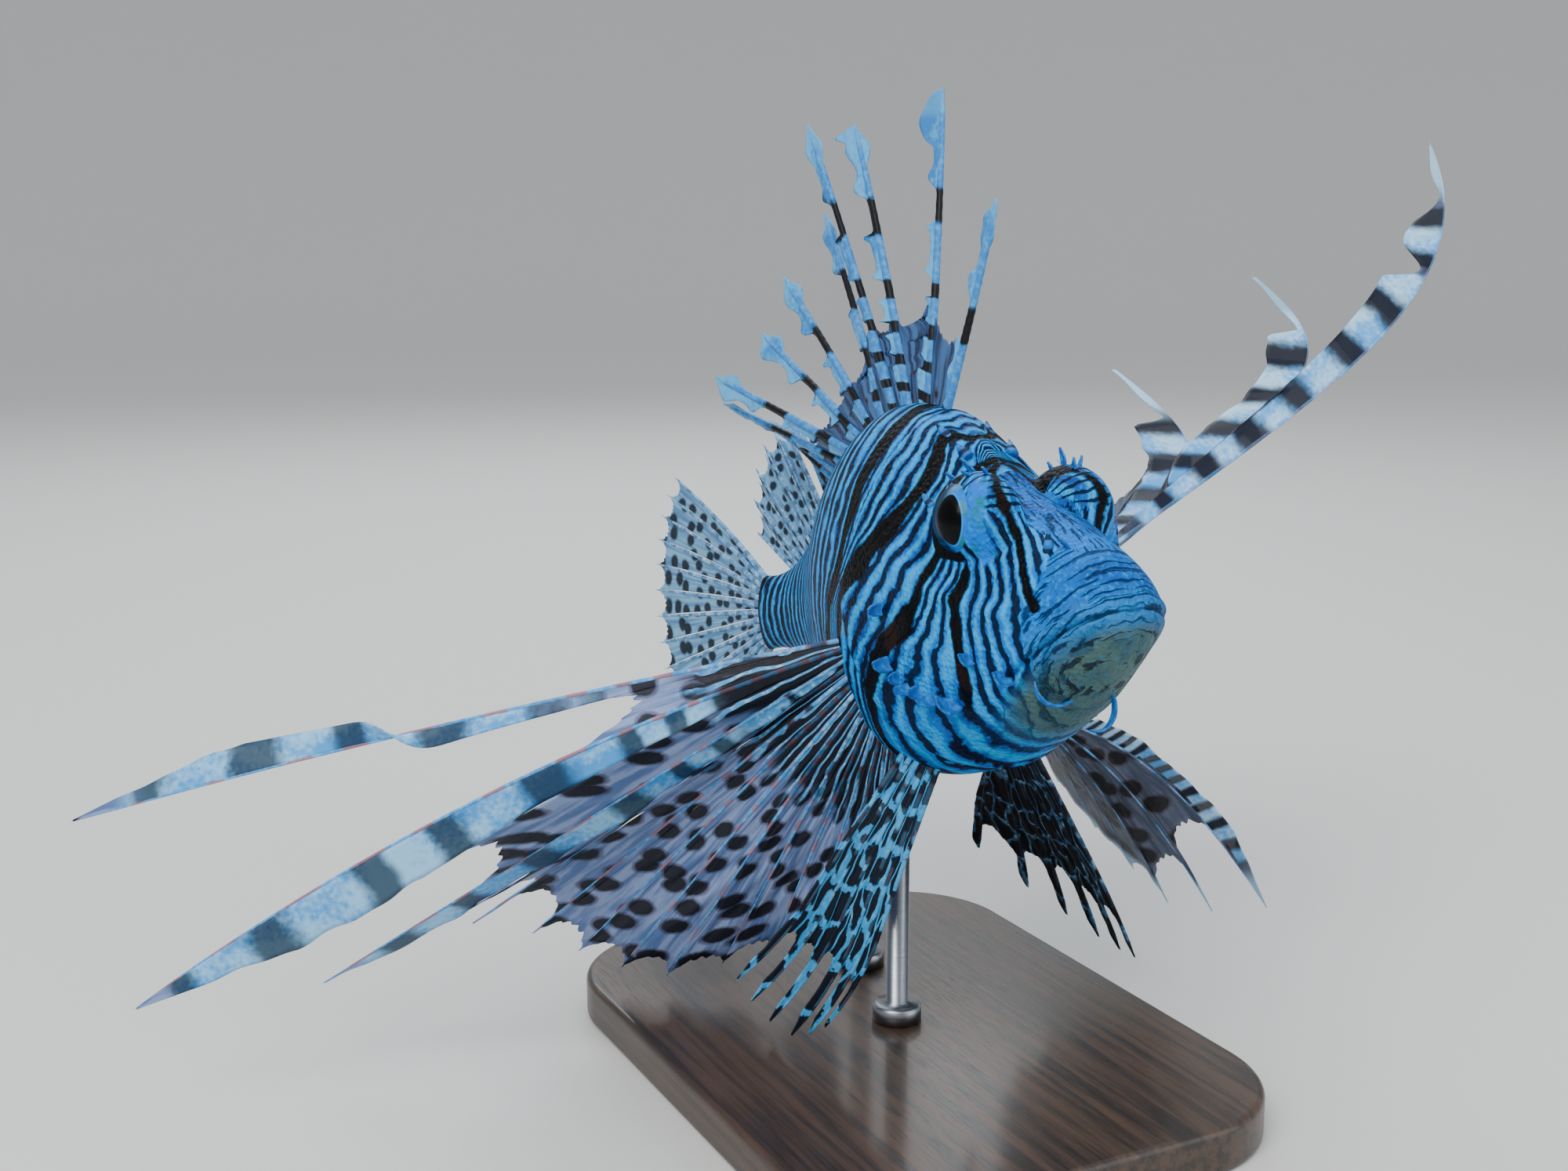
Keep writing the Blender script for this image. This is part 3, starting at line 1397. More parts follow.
@dataclass
class Fan:
    """A fin as an array of rays, with banners beside them and membrane between them.

    A ray's point at t is base + chord * L * t + bow * L * (t^power - t), and the hook
    bends its last third by the square of the way through it.
    """

    name: str
    node: str
    base: Array
    chord: Array
    length: Array
    bow: Array
    webs: Array
    vane: Array
    finish: FinFinish
    banding: Banding
    bow_power: float | Array = 2.0
    root: float = 0.85
    tip: float = 0.25
    turn: Array | None = None
    facing: tuple[float, float, float] = (0.67, -0.72, -0.2)
    edges: tuple[Edge, ...] = (Edge.RIBBON,)
    spatula: float = 0.0
    scallop: float = 0.05
    ruffle: float = 0.5
    seed: float = 1.0
    steps: int = 64
    membrane_half: float = 0.14
    free_from: float = 2.0
    # The way cut banners stand off their rays, and the width of the last ray's outer banner.
    drape: tuple[float, float, float] = (-0.44, -0.88, 0.12)
    lead: float = 0.0
    hook: tuple[float, float, float] = (0.0, 0.0, 0.0)
    # By ray: where its banner turns over to the ray's other edge, and where it narrows.
    twists: tuple[tuple[float, float], ...] = ()
    waists: tuple[tuple[float, ...], ...] = ()
    ray_sides: int = 10
    banner_columns: int = 9
    web_columns: int = 17
    web_rows: int = 40

    def path(self, index: int, t: Array) -> Array:
        """Points of one ray at the shares t of its length.

        Args:
            index: The ray.
            t: Shares of its length.

        Returns:
            The points.
        """
        raised = np.maximum(t, 0) ** np.broadcast_to(self.bow_power, self.length.shape)[index] - t
        late = np.maximum(t - 0.66, 0) ** 2 / 0.34**2
        return (
            self.base[index]
            + self.chord[index] * (self.length[index] * t)[..., None]
            + self.bow[index] * (self.length[index] * raised)[..., None]
            + np.array(self.hook) * late[..., None]
        )

    def neighbours(self, index: int, t: Array) -> tuple[Array, Array]:
        """Points at the same shares on the rays before and after."""
        last = len(self.length) - 1
        return self.path(max(index - 1, 0), t), self.path(min(index + 1, last), t)

    def across(self, index: int, t: Array) -> tuple[Array, Array]:
        """Directions along a ray and across it towards the next, at the shares t.

        Args:
            index: The ray.
            t: Shares of its length.

        Returns:
            The two directions.
        """
        along = unit(self.path(index, np.minimum(t + 0.03, 1.02)) - self.path(index, t - 0.03))
        before, after = self.neighbours(index, t)
        over = after - before
        over = unit(over - along * (over * along).sum(axis=-1, keepdims=True))
        if self.turn is not None and self.turn[index] > 0:
            turned = unit(np.cross(np.array(self.facing), along))
            if self.edge_kind(index) is Edge.CUT:
                turned = np.broadcast_to(unit(np.array(self.drape)), along.shape)
            share = (self.turn[index] * np.minimum(1, 2.5 * t))[..., None]
            over = unit(mix(over, turned, share))
        return along, over

    def room(self, index: int, t: Array) -> Array:
        """Half the distance between a ray's neighbours."""
        before, after = self.neighbours(index, t)
        return np.linalg.norm(after - before, axis=-1) / 2

    def edge_kind(self, index: int) -> Edge:
        """The banner outline of one ray, the last kind holding for the rest."""
        return self.edges[min(index, len(self.edges) - 1)]

    def edge(self, index: int, t: Array) -> Array:
        """Width of a ray's rear banner at the shares t.

        A ribbon swells in the first third and narrows over the last fifth. A cut banner swells
        about the middle and ends squarely at 0.9. A finger stays wide to its blunt end. Lobes
        are narrow, and flare beside each dark band. A waist takes 0.85 of the width over about
        0.035 of the ray.

        Args:
            index: The ray.
            t: Shares of its length.

        Returns:
            The widths.
        """
        kind = self.edge_kind(index)
        ridge = mix(self.root, self.tip, t)
        if kind is Edge.LOBES:
            count = self.banding.count(index, t, self.length[index])
            away = np.abs((count + 0.5) % 1 - 0.5)
            shape = mix(0.08, 0.5, smooth_step(0.17, 0.21, away)) + 0.5 * bell(away, 0.23, 0.05)
            shape = shape * np.minimum(1, 8 * (1 - t)) + 0.9 * smooth_step(0.3, 0.02, t)
        elif kind is Edge.CUT:
            shape = smooth_step(0.36, 0.54, t) * (0.08 + 0.92 * smooth_step(0.91, 0.89, t))
            shape = shape + 0.16 * bell(t, 0.95, 0.03)
        elif kind is Edge.FINGER:
            shape = np.minimum(1, 3 * t) * np.minimum(1, 16 * (1 - t))
        else:
            shape = np.minimum(1, 3 * t) * np.minimum(1, 5 * (1 - t))
        if index < len(self.waists):
            for waist in self.waists[index]:
                shape = shape * (1 - 0.85 * bell(t, waist, 0.035))
        wavy = 1 + 0.1 * ripple(26 * t, self.seed + index)
        wide = ridge + self.vane[index] * np.clip(shape, 0, 1) * wavy + self.flare(index, t)
        return np.minimum(wide, np.maximum(0.45 * self.room(index, t), self.flare(index, t)))

    def flare(self, index: int, t: Array) -> Array:
        """Half width of the spoon-shaped tip: it swells to the spatula's width 6 mm from the end."""
        away = (1 - t) * self.length[index]
        return self.spatula * bell(away, 6.5, 3.6) * smooth_step(0, 4, away)

    def front(self, index: int, t: Array) -> Array:
        """Width of the front half of a spoon-shaped tip."""
        return 0.4 + self.flare(index, t)

    def values(
        self, index: int, t: Array, share: Array, on_ray: float, banner: Array | float
    ) -> dict[str, Array]:
        """The point values that the finish reads.

        Args:
            index: The ray.
            t: Shares of its length.
            share: Shares of the way to the next ray.
            on_ray: 1 on a ray and 0 beside it.
            banner: 1 where the fin is a free banner.

        Returns:
            Two vectors, ray and part.
        """
        number = index + share + 0 * t
        run = t * self.length[index]
        count = self.banding.count(index, t, self.length[index]) + 0.06 * share * (banner + 0 * t)
        return {"ray": stacked(number, run, count), "part": stacked(on_ray + 0 * number, t, banner)}

    def add_ray(self, surface: Surface, index: int) -> None:
        """Adds one ray as a tapered tube with faint joints along it.

        Args:
            surface: Where the mesh goes.
            index: The ray.
        """
        t = np.linspace(0, 1, self.steps)
        along, over = self.across(index, t)
        thick = mix(self.root, self.tip, t**0.8) * (1 + 0.04 * np.sin(150 * t))
        thick = thick * np.minimum(1, 14 * (1 - t) + 0.12)
        sides = self.ray_sides
        points = ring_round(self.path(index, t), over, np.cross(along, over), thick * 1.15, thick, sides)
        values = self.values(index, t[:, None], np.zeros((1, sides)), 1.0, 0.0)
        surface.tube(points, values)

    def add_banner(self, surface: Surface, index: int, wide: Array, sign: int, finer: float = 1.0) -> None:
        """Adds the free membrane along one edge of a ray, of the given widths.

        Args:
            surface: Where the sheet goes.
            index: The ray.
            wide: Width at each of the ray's steps.
            sign: 1 for the rear edge, -1 for the front one.
            finer: How many times closer than the fin's own its dark bands are.
        """
        t = np.linspace(0.0, 0.995, self.steps)[:, None]
        share = np.linspace(0, 1, self.banner_columns)[None, :]
        path = self.path(index, t[:, 0])
        along, over = self.across(index, t[:, 0])
        normal = np.cross(along, over)
        if index < len(self.twists):
            start, end = self.twists[index]
            phase = math.pi * smooth_step(start, end, t)
            turned = over * np.cos(phase) + normal * np.sin(phase)
            over, normal = turned, np.cross(along, turned)
        lift = self.ruffle * share**2 * ripple(18 * t, self.seed + 2 * index)
        lift = lift * np.minimum(wide, 4)[:, None] * 0.3
        reach = sign * wide[:, None] * share
        points = path[:, None] + over[:, None] * reach[..., None] + normal[:, None] * lift[..., None]
        narrow = self.edge_kind(index) in (Edge.RIBBON, Edge.FINGER)
        free = smooth_step(self.free_from, self.free_from + 1.2, wide) if narrow else 1 + 0 * wide
        free = free[:, None] + 0 * share
        values = self.values(index, t, 0.12 * share, 0.0, free)
        values["ray"][..., 2] *= finer
        surface.sheet(points, self.membrane_half, values)

    def add_web(self, surface: Surface, index: int) -> None:
        """Adds the membrane from one ray's banner to the next ray.

        Its free edge is scalloped: it reaches the web's share of the rays, further beside them,
        as web + scallop * (|2u - 1|^3 - 0.5), with a slight raggedness.

        Args:
            surface: Where the mesh goes.
            index: The first of the two rays.
        """
        u = np.linspace(0, 1, self.web_columns)[None, :]
        v = np.linspace(0, 1, self.web_rows)[:, None]
        ragged = 0.008 * ripple(30 * u, self.seed + 3 * index)
        ends = self.webs[[max(index - 1, 0), index, min(index + 1, len(self.webs) - 1)]]
        level = mix(mix(ends[0], ends[1], 0.75), mix(ends[1], ends[2], 0.25), u)
        reach = level + self.scallop * (np.abs(2 * u - 1) ** 3 - 0.5) + ragged
        t = v * np.clip(reach, 0.05, 0.985)
        along, over = self.across(index, t)
        near = self.path(index, t) + over * self.edge(index, t)[..., None]
        far = self.path(index + 1, t)
        normal = np.cross(along, over)
        sag = self.ruffle * np.sin(math.pi * u) * ripple(9 * t + 2 * u, self.seed + 5 * index)
        sag = sag * np.minimum(self.room(index, t), 6) * 0.18
        points = mix(near, far, u[..., None]) + normal * sag[..., None]
        surface.sheet(points, self.membrane_half, self.values(index, t, 0.12 + 0.88 * u, 0.0, 0.0))

    def extras(self, surface: Surface) -> None:
        """Adds what only one fin has."""

    def build(self) -> bpy.types.Object:
        """The fin piece, standing for its node.

        Returns:
            The piece.
        """
        surface = Surface(self.name, Slot.FIN)
        steps = np.linspace(0.0, 0.995, self.steps)
        for index in range(len(self.length)):
            self.add_ray(surface, index)
            if self.edge_kind(index) is not Edge.NONE:
                self.add_banner(surface, index, self.edge(index, steps), 1)
            if self.spatula > 0:
                self.add_banner(surface, index, self.front(index, steps), -1)
        if self.lead > 0:
            wide = self.lead * np.minimum(1, 4 * steps) * np.minimum(1, 5 * (1 - steps))
            self.add_banner(surface, len(self.length) - 1, wide, 1, 2.6)
        for index in range(len(self.length) - 1):
            if self.webs[index] > 0:
                self.add_web(surface, index)
        self.extras(surface)
        piece = surface.build()
        piece.data.materials.append(self.finish.material(self.name + "_finish"))
        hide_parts(self.node)
        return piece


@dataclass
class Pectoral:
    """One of the wing-like side fins, from key rays.

    Key rows: ray, degrees back from straight out, elevation, length, bow, banner, turn and
    the power of the bow. The bow's rows are the ray and the direction it bulges to.
    """

    side: Side
    keys: Rows
    webs: tuple[float, ...]
    bow_to: Rows
    finish: FinFinish
    banding: Banding
    edges: tuple[Edge, ...] = (Edge.RIBBON,)
    twists: tuple[tuple[float, float], ...] = ()
    waists: tuple[tuple[float, ...], ...] = ()
    lead: float = 0.0
    rays: int = 14
    top: tuple[float, float] = (71, -5)
    bottom: tuple[float, float] = (65, -24)
    sink: float = 2.5

    def build(self) -> bpy.types.Object:
        """The fin, with its rays spread along its root from top to bottom.

        Returns:
            The piece.
        """
        number = np.arange(self.rays, dtype=float)
        share = number / (self.rays - 1)
        station = mix(self.top[0], self.bottom[0], share)
        height = mix(self.top[1], self.bottom[1], share)
        back, rise, length, bow, vane, turn, power = smooth_curve(self.keys, number).T
        sign = self.side.value
        name = self.side.name.lower()
        return Fan(
            name=f"pectoral_{name}",
            node=f"pectoral_fin_{name}",
            base=BODY.point(station, sign * (BODY.flank(station, height) - self.sink), height),
            chord=BODY.aim(station, sign, back, rise),
            length=length + self.sink,
            bow=-bow[:, None] * smooth_curve(self.bow_to, number),
            bow_power=power,
            webs=np.array(self.webs),
            vane=vane,
            turn=turn,
            finish=self.finish,
            banding=self.banding,
            edges=self.edges,
            twists=self.twists,
            waists=self.waists,
            lead=self.lead,
            steps=150,
            root=0.5,
            tip=0.17,
            ruffle=0.8,
            seed=2.0 + sign,
        ).build()


@dataclass
class SpineFan(Fan):
    """The dorsal spines, of which one ends in a round flag and the next in a fork."""

    flag: int = 1
    fork: int = 2
    disc: float = 5.6
    prong: float = 4.6
    slant: float = 0.45

    def across(self, index: int, t: Array) -> tuple[Array, Array]:
        """Directions along a spine and across it, the second slanted up towards the tip."""
        along, over = super().across(index, t)
        return along, over + self.slant * along

    def front(self, index: int, t: Array) -> Array:
        """The plain spoon's front half, which the flag's spine lacks."""
        return 0.4 + (0 if index == self.flag else 1) * self.spoon(index, t)

    def spoon(self, index: int, t: Array) -> Array:
        """The spoon-shaped tip, slighter on the first spine."""
        return (0.6 if index == 0 else 1) * super().flare(index, t)

    def flare(self, index: int, t: Array) -> Array:
        """The spoon-shaped tip, with the flag's half disc or the fork's prong added.

        Args:
            index: The ray.
            t: Shares of its length.

        Returns:
            The half widths.
        """
        away = (1 - t) * self.length[index]
        spoon = self.spoon(index, t)
        if index == self.flag:
            return 0.25 * spoon + self.disc * np.sqrt(np.maximum(1 - ((away - 7.0) / 6.4) ** 2, 0))
        if index == self.fork:
            return spoon + self.prong * bell(away, 2.6, 1.4)
        return spoon


@dataclass
class SpinyDorsal:
    """Thirteen tall spines along the back, each with a narrow banner behind it."""

    spines: int = 13
    first: float = 58
    last: float = 137
    sink: float = 3
    # Spine, degrees back, degrees to the right, length.
    keys: Rows = (
        (0, -18, -11, 43),
        (1, 7, -12, 70),
        (2, 24, -5, 73),
        (3, 24, 2, 75),
        (4, 32, -1, 60),
        (5, 44, 7, 56),
        (6, 55, 12, 54),
        (7, 62, 24, 55),
        (8, 65, 26, 52),
        (10, 60, 14, 40),
        (12, 47, 2, 30),
    )
    web: float = 0.31
    banner: float = 3.4

    def build(self) -> bpy.types.Object:
        """The spines with the low web between their roots.

        Returns:
            The piece.
        """
        number = np.arange(self.spines, dtype=float)
        station = mix(self.first, self.last, number / (self.spines - 1))
        lean, right, length = smooth_curve(self.keys, number).T
        lean = np.radians(lean)
        right = np.radians(right)
        top = BODY.section(station)[0]
        chord = BODY.direction(
            station, np.sin(lean) * np.cos(right), -np.sin(right), np.cos(lean) * np.cos(right)
        )
        zero = np.zeros_like(station)
        return SpineFan(
            name="dorsal_spines_banded",
            node="dorsal_spines",
            base=BODY.point(station, zero, top - self.sink),
            chord=chord,
            length=length + self.sink,
            bow=BODY.direction(station, zero + 1, zero, zero) * 0.06,
            webs=np.full(self.spines - 1, self.web),
            vane=np.full(self.spines, self.banner),
            edges=(Edge.LOBES,),
            spatula=2.3,
            finish=SPINE_FINISH,
            banding=SPINE_BANDS,
            root=1.05,
            tip=0.55,
            steps=130,
            scallop=0.04,
            seed=4.0,
        ).build()


@dataclass
class MedianFin:
    """A soft fin along the back or belly: rays evenly spaced along a stretch of it."""

    name: str
    node: str
    rays: int
    first: float
    last: float
    up: int
    keys: Rows
    webs: tuple[float, ...]
    sink: float = 2.5

    def build(self) -> bpy.types.Object:
        """The fin piece. Keys are ray, degrees back and length.

        Returns:
            The piece.
        """
        number = np.arange(self.rays, dtype=float)
        station = mix(self.first, self.last, number / (self.rays - 1))
        lean, length = smooth_curve(self.keys, number).T
        lean = np.radians(lean)
        sway = np.radians(np.where(number % 2, 1.2, -1.2))
        section = BODY.section(station)
        edge = section[0] if self.up > 0 else section[1]
        zero = np.zeros_like(station)
        return Fan(
            name=self.name,
            node=self.node,
            base=BODY.point(station, zero, edge - self.up * self.sink),
            chord=BODY.direction(station, np.sin(lean), np.sin(sway), self.up * np.cos(lean)),
            length=length + self.sink,
            bow=np.zeros((self.rays, 3)),
            webs=np.array(self.webs),
            vane=np.full(self.rays, 0.4),
            edges=(Edge.NONE,),
            finish=SPOTTED_FINISH,
            banding=SHORT_BANDS,
            root=0.7,
            scallop=0.05,
            ruffle=0.3,
            seed=5.0 + self.up,
        ).build()


@dataclass
class TailFin:
    """Rounded tail fin: rays spread from the end of the tail stalk and bowed to the right."""

    rays: int = 13
    length: float = 57
    spread: float = 40
    height: float = 8
    centre: float = 3.2
    turn: float = 9

    def build(self) -> bpy.types.Object:
        """The fin piece.

        Returns:
            The piece.
        """
        share = np.linspace(-1, 1, self.rays)
        angle = np.radians(self.spread * share)
        station = np.full(self.rays, BODY.length)
        zero = np.zeros_like(station)
        side = -math.sin(math.radians(self.turn))
        return Fan(
            name="tail_fin_spotted",
            node="tail_fin",
            base=BODY.point(station - 1.5, zero, self.centre + self.height * share),
            chord=BODY.direction(station, np.cos(angle), zero + side, np.sin(angle)),
            length=self.length * (1 - 0.12 * share**2),
            bow=BODY.direction(station, zero, zero - 1, zero) * 0.12,
            webs=np.full(self.rays - 1, 0.94),
            vane=np.full(self.rays, 0.3),
            edges=(Edge.NONE,),
            finish=SPOTTED_FINISH,
            banding=SHORT_BANDS,
            scallop=0.04,
            ruffle=0.3,
            seed=7.0,
        ).build()


@dataclass
class Pelvic:
    """One of the two belly fins. Key rows: ray, degrees back, elevation, length."""

    side: Side
    keys: Rows
    finish: FinFinish
    banding: Banding
    hook: tuple[float, float, float] = (0.0, 0.0, 0.0)
    rays: int = 6
    first: float = 56
    last: float = 62
    out: float = 7.5
    spread: float = 4
    sink: float = 2.5

    def build(self) -> bpy.types.Object:
        """The fin piece.

        Returns:
            The piece.
        """
        number = np.arange(self.rays, dtype=float)
        share = number / (self.rays - 1)
        station = mix(self.first, self.last, share)
        sign = self.side.value
        out = self.out + self.spread * (1 - share if sign > 0 else share)
        back, rise, length = smooth_curve(self.keys, number).T
        name = self.side.name.lower()
        return Fan(
            name=f"pelvic_{name}",
            node=f"pelvic_fin_{name}",
            base=BODY.point(station, sign * out, BODY.underside(station, out) + self.sink),
            chord=BODY.aim(station, sign, back, rise),
            length=length + self.sink,
            bow=np.tile(np.array([0, 0, -0.05]), (self.rays, 1)),
            bow_power=2.5,
            hook=self.hook,
            webs=np.array([0.84, 0.78, 0.75, 0.78, 0.8]),
            vane=np.full(self.rays, 1.5),
            edges=(Edge.FINGER,),
            free_from=9,
            finish=self.finish,
            banding=self.banding,
            root=0.6,
            tip=0.3,
            seed=9.0 + sign,
        ).build()


# Head trimmings


@dataclass(frozen=True)
class Flap:
    """A loose skin flap on one side of the head: place, size, the way it points and its curl.

    Out is how far its root lies from the middle, or 0 where it lies on the flank.
    """

    station: float
    height: float
    length: float
    width: float
    lean: tuple[float, float, float]
    curl: float = 0.9
    out: float = 0


@dataclass(frozen=True)
class HeadSpine:
    """A small bony spine on one side of the head."""

    station: float
    height: float
    out: float
    length: float


@dataclass
class Trimmings:
    """Skin flaps, small spines and nostril tubes on both sides of the head."""

    flaps: tuple[Flap, ...] = (
        Flap(33.7, -17.3, 8.0, 4.4, (0.45, 0.7, -0.5), 2.2),
        Flap(35.5, -18.4, 5.0, 3.0, (0.1, 0.9, -0.5), 1.6),
        Flap(19, -12.2, 6.0, 3.4, (0.5, 0.7, -0.3), 1.8),
        Flap(26.2, -8.7, 4.4, 2.8, (0.5, 0.8, -0.3), 1.8),
        Flap(39.5, -16.4, 4.4, 2.8, (0.6, 0.7, -0.6), 1.5),
        Flap(41.8, -14.8, 4.6, 2.6, (0.7, 0.7, -0.1), 1.7),
        Flap(44.5, -14.0, 4.6, 2.6, (0.7, 0.6, -0.5), 1.5),
        Flap(47.2, -12.2, 4.6, 2.6, (0.6, 0.8, -0.1), 1.6),
        Flap(49.4, -9.4, 5.0, 3.2, (0.8, 0.6, -0.3), 1.7),
        Flap(49.6, 1.3, 4.2, 2.6, (0.8, 0.6, 0.1), 1.6),
        Flap(11, 10.5, 3.2, 1.4, (-0.4, 0.5, 0.8), 0.5, 4.5),
        Flap(14, -17, 10.5, 1.5, (-0.1, 0.6, -0.8), 2.6, 4.5),
        Flap(31, 26, 3.4, 1.5, (0.2, 0.3, 1), 0.6, 10.4),
        Flap(27, 24.6, 2.6, 1.3, (-0.3, 0.3, 1), 0.6, 9.6),
        Flap(35.5, 24.2, 3.0, 1.4, (0.5, 0.3, 1), 0.6, 11),
        Flap(29, 25.2, 2.2, 1.1, (-0.1, 0.7, 0.9), 0.6, 12.4),
    )
    spines: tuple[HeadSpine, ...] = (
        HeadSpine(48, 33, 5.5, 4.5),
        HeadSpine(41, 29, 6, 4),
        HeadSpine(56, 14, 19, 4.5),
        HeadSpine(42, 20, 14, 4),
    )
    spine_radius: float = 1.4
    nostril_radius: float = 1.2
    flap_half: float = 0.22
    flap_rows: int = 28
    flap_columns: int = 9
    spine_rings: int = 14
    spine_sides: int = 12
    # Added to the distance from the root, so that a fin's dark veined base doesn't show here.
    past_base: float = 9

    def values(self, run: Array, number: float, count: Array | float) -> dict[str, Array]:
        """The point values with which the fin finish shows a bare ray."""
        return {"ray": stacked(number, run + self.past_base, count), "part": stacked(1, 0 * run, 0)}

    def add_flap(self, surface: Surface, flap: Flap, sign: int) -> None:
        """Adds a leaf-shaped sheet that curls along its length and cups across it.

        Its middle line is an arc of the curl's angle c, at L sin(ct) / c along and
        L (1 - cos(ct)) / c off; its half width is width / 2 * (0.16 + 0.84 sin(pi t^0.8)).

        Args:
            surface: Where the mesh goes.
            flap: The flap.
            sign: 1 for the left side, -1 for the right.
        """
        station = np.array(flap.station)
        height = np.array(flap.height)
        out = flap.out if flap.out > 0 else float(BODY.flank(station, height)) - 0.5
        lean = BODY.direction(station, flap.lean[0], sign * flap.lean[1], flap.lean[2])
        outwards = BODY.direction(station, 0.0, sign, 0.0)
        over = unit(np.cross(outwards, lean))
        normal = np.cross(over, lean) * sign
        root = BODY.point(station, np.array(sign * out), height) - lean * 1.2
        t = np.linspace(0, 1, self.flap_rows)[:, None]
        u = np.linspace(-1, 1, self.flap_columns)[None, :]
        wavy = 1 + 0.12 * ripple(11 * t + u, flap.station)
        half = flap.width / 2 * (0.16 + 0.84 * np.sin(math.pi * np.clip(t, 0, 0.97) ** 0.8)) * wavy
        length = flap.length + 1.2
        ahead = length * np.sin(flap.curl * t) / flap.curl
        off = length * (1 - np.cos(flap.curl * t)) / flap.curl + 0.22 * flap.width * u**2 * np.sin(2.4 * t)
        points = root + lean * ahead[..., None] + over * (half * u)[..., None] + normal * off[..., None]
        surface.sheet(points, self.flap_half, self.values(length * t + 0 * u, flap.station, 0.5))

    def add_spine(self, surface: Surface, root: Array, tip: Array, radius: float) -> None:
        """Adds a thorn: a round section that narrows as 1 - t^1.4 from root to tip.

        Args:
            surface: Where the mesh goes.
            root: Its root.
            tip: Its tip.
            radius: Radius at the root.
        """
        t = np.linspace(0, 1, self.spine_rings)
        way = unit(tip - root)
        over = unit(np.cross(np.array([0, 1.0, 0.2]), way))
        path = root + (tip - root) * t[:, None]
        thick = radius * (1.03 - t**1.4)
        sides = np.tile(over, (len(t), 1))
        ups = np.tile(np.cross(way, over), (len(t), 1))
        points = ring_round(path, sides, ups, thick, thick, self.spine_sides)
        run = np.linalg.norm(tip - root) * t[:, None] + np.zeros((1, self.spine_sides))
        surface.tube(points, self.values(run, root[0], run / 2.6 + 0.5))

    def build(self) -> bpy.types.Object:
        """All trimmings as one piece.

        Returns:
            The piece.
        """
        surface = Surface("head_trimmings", Slot.SKIN)
        for sign in (-1, 1):
            for flap in self.flaps:
                self.add_flap(surface, flap, sign)
            for spine in self.spines:
                station = np.array(spine.station)
                root = BODY.point(station, np.array(sign * (spine.out - 1)), np.array(spine.height))
                way = BODY.direction(station, 0.55, sign * 0.3, 0.8)
                self.add_spine(surface, root, root + way * spine.length, self.spine_radius)
            nostril = BODY.point(np.array([14, 12.5]), sign * np.array([7, 7.6]), np.array([9, 14.5]))
            self.add_spine(surface, nostril[0], nostril[1], self.nostril_radius)
        piece = surface.build()
        finish = FinFinish(
            light=linear(14, 92, 176), white=linear(44, 150, 226), dash_strength=0.0, ray_bands=0.9,
            dark_share=0.4,
        )
        piece.data.materials.append(finish.material("trimmings_pale"))
        return piece


# The stand


@dataclass
class Stand:
    """A low rounded base with two thin upright rods under the belly."""

    length: float = 150
    width: float = 112
    height: float = 10
    edge: float = 1.6
    corner: float = 28
    # The rods' collars: height, and radius as a share of the rod's.
    collar: float = 3.2
    collar_share: float = 2.2

    def base(self) -> bpy.types.Object:
        """The base: a rounded rectangle carried up its side, with rolled edges above and below.

        Returns:
            The piece.
        """
        turn = np.linspace(0, FULL_TURN, 160, endpoint=False)
        cosine = np.cos(turn)
        sine = np.sin(turn)
        roll = np.linspace(0, math.pi / 2, 7)
        inset = self.edge * (1 - np.sin(roll))
        level = self.edge * (1 - np.cos(roll))
        inner = np.linspace(1, 0.02, 6)[:-1]
        insets = np.concatenate([inset, inset[::-1]])
        levels = np.concatenate([level, self.height - level[::-1]])
        radius = self.corner - insets[:, None]
        x = np.sign(cosine) * (self.length / 2 - self.corner) + radius * cosine
        y = np.sign(sine) * (self.width / 2 - self.corner) + radius * sine
        rings = stacked(x, y, levels[:, None])
        shrunk = stacked(inner, inner, 1)[:, None]
        surface = Surface("base_plinth", Slot.BASE, in_fish=False)
        surface.tube(np.concatenate([rings[0] * shrunk[::-1], rings, rings[-1] * shrunk]), {})
        piece = surface.build()
        piece.data.materials.append(WoodFinish().material("base_wood"))
        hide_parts("stand_base")
        return piece

    def rod(self, node: str) -> bpy.types.Object:
        """A rod over its own node's place, from the base to just inside the belly, with a collar.

        Args:
            node: The rod's node.

        Returns:
            The piece.
        """
        low, high = (np.array(corner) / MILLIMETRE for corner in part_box(node))
        centre = (low + high) / 2
        radius = (high[0] - low[0]) / 2
        top = low[2] + self.collar
        heights = np.array([low[2], low[2], top, top + 0.6, top + 1.2, high[2] - 1, high[2]])
        radii = radius * np.array([1, self.collar_share, self.collar_share, 1.9, 1, 1, 0.9])
        path = stacked(centre[0], centre[1], heights)
        side, across = (np.tile(axis, (len(heights), 1)) for axis in np.eye(3)[:2])
        surface = Surface(node + "_turned", Slot.ROD, in_fish=False)
        surface.tube(ring_round(path, side, across, radii, radii, 48), {})
        piece = surface.build()
        piece.data.materials.append(SteelFinish().material(node + "_steel"))
        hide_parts(node)
        return piece


# The studio


@dataclass(frozen=True)
class Lamp:
    """One soft square light: its place and size in metres, its power in watts and its tint."""

    name: str
    place: tuple[float, float, float]
    size: float
    power: float
    tint: Colour


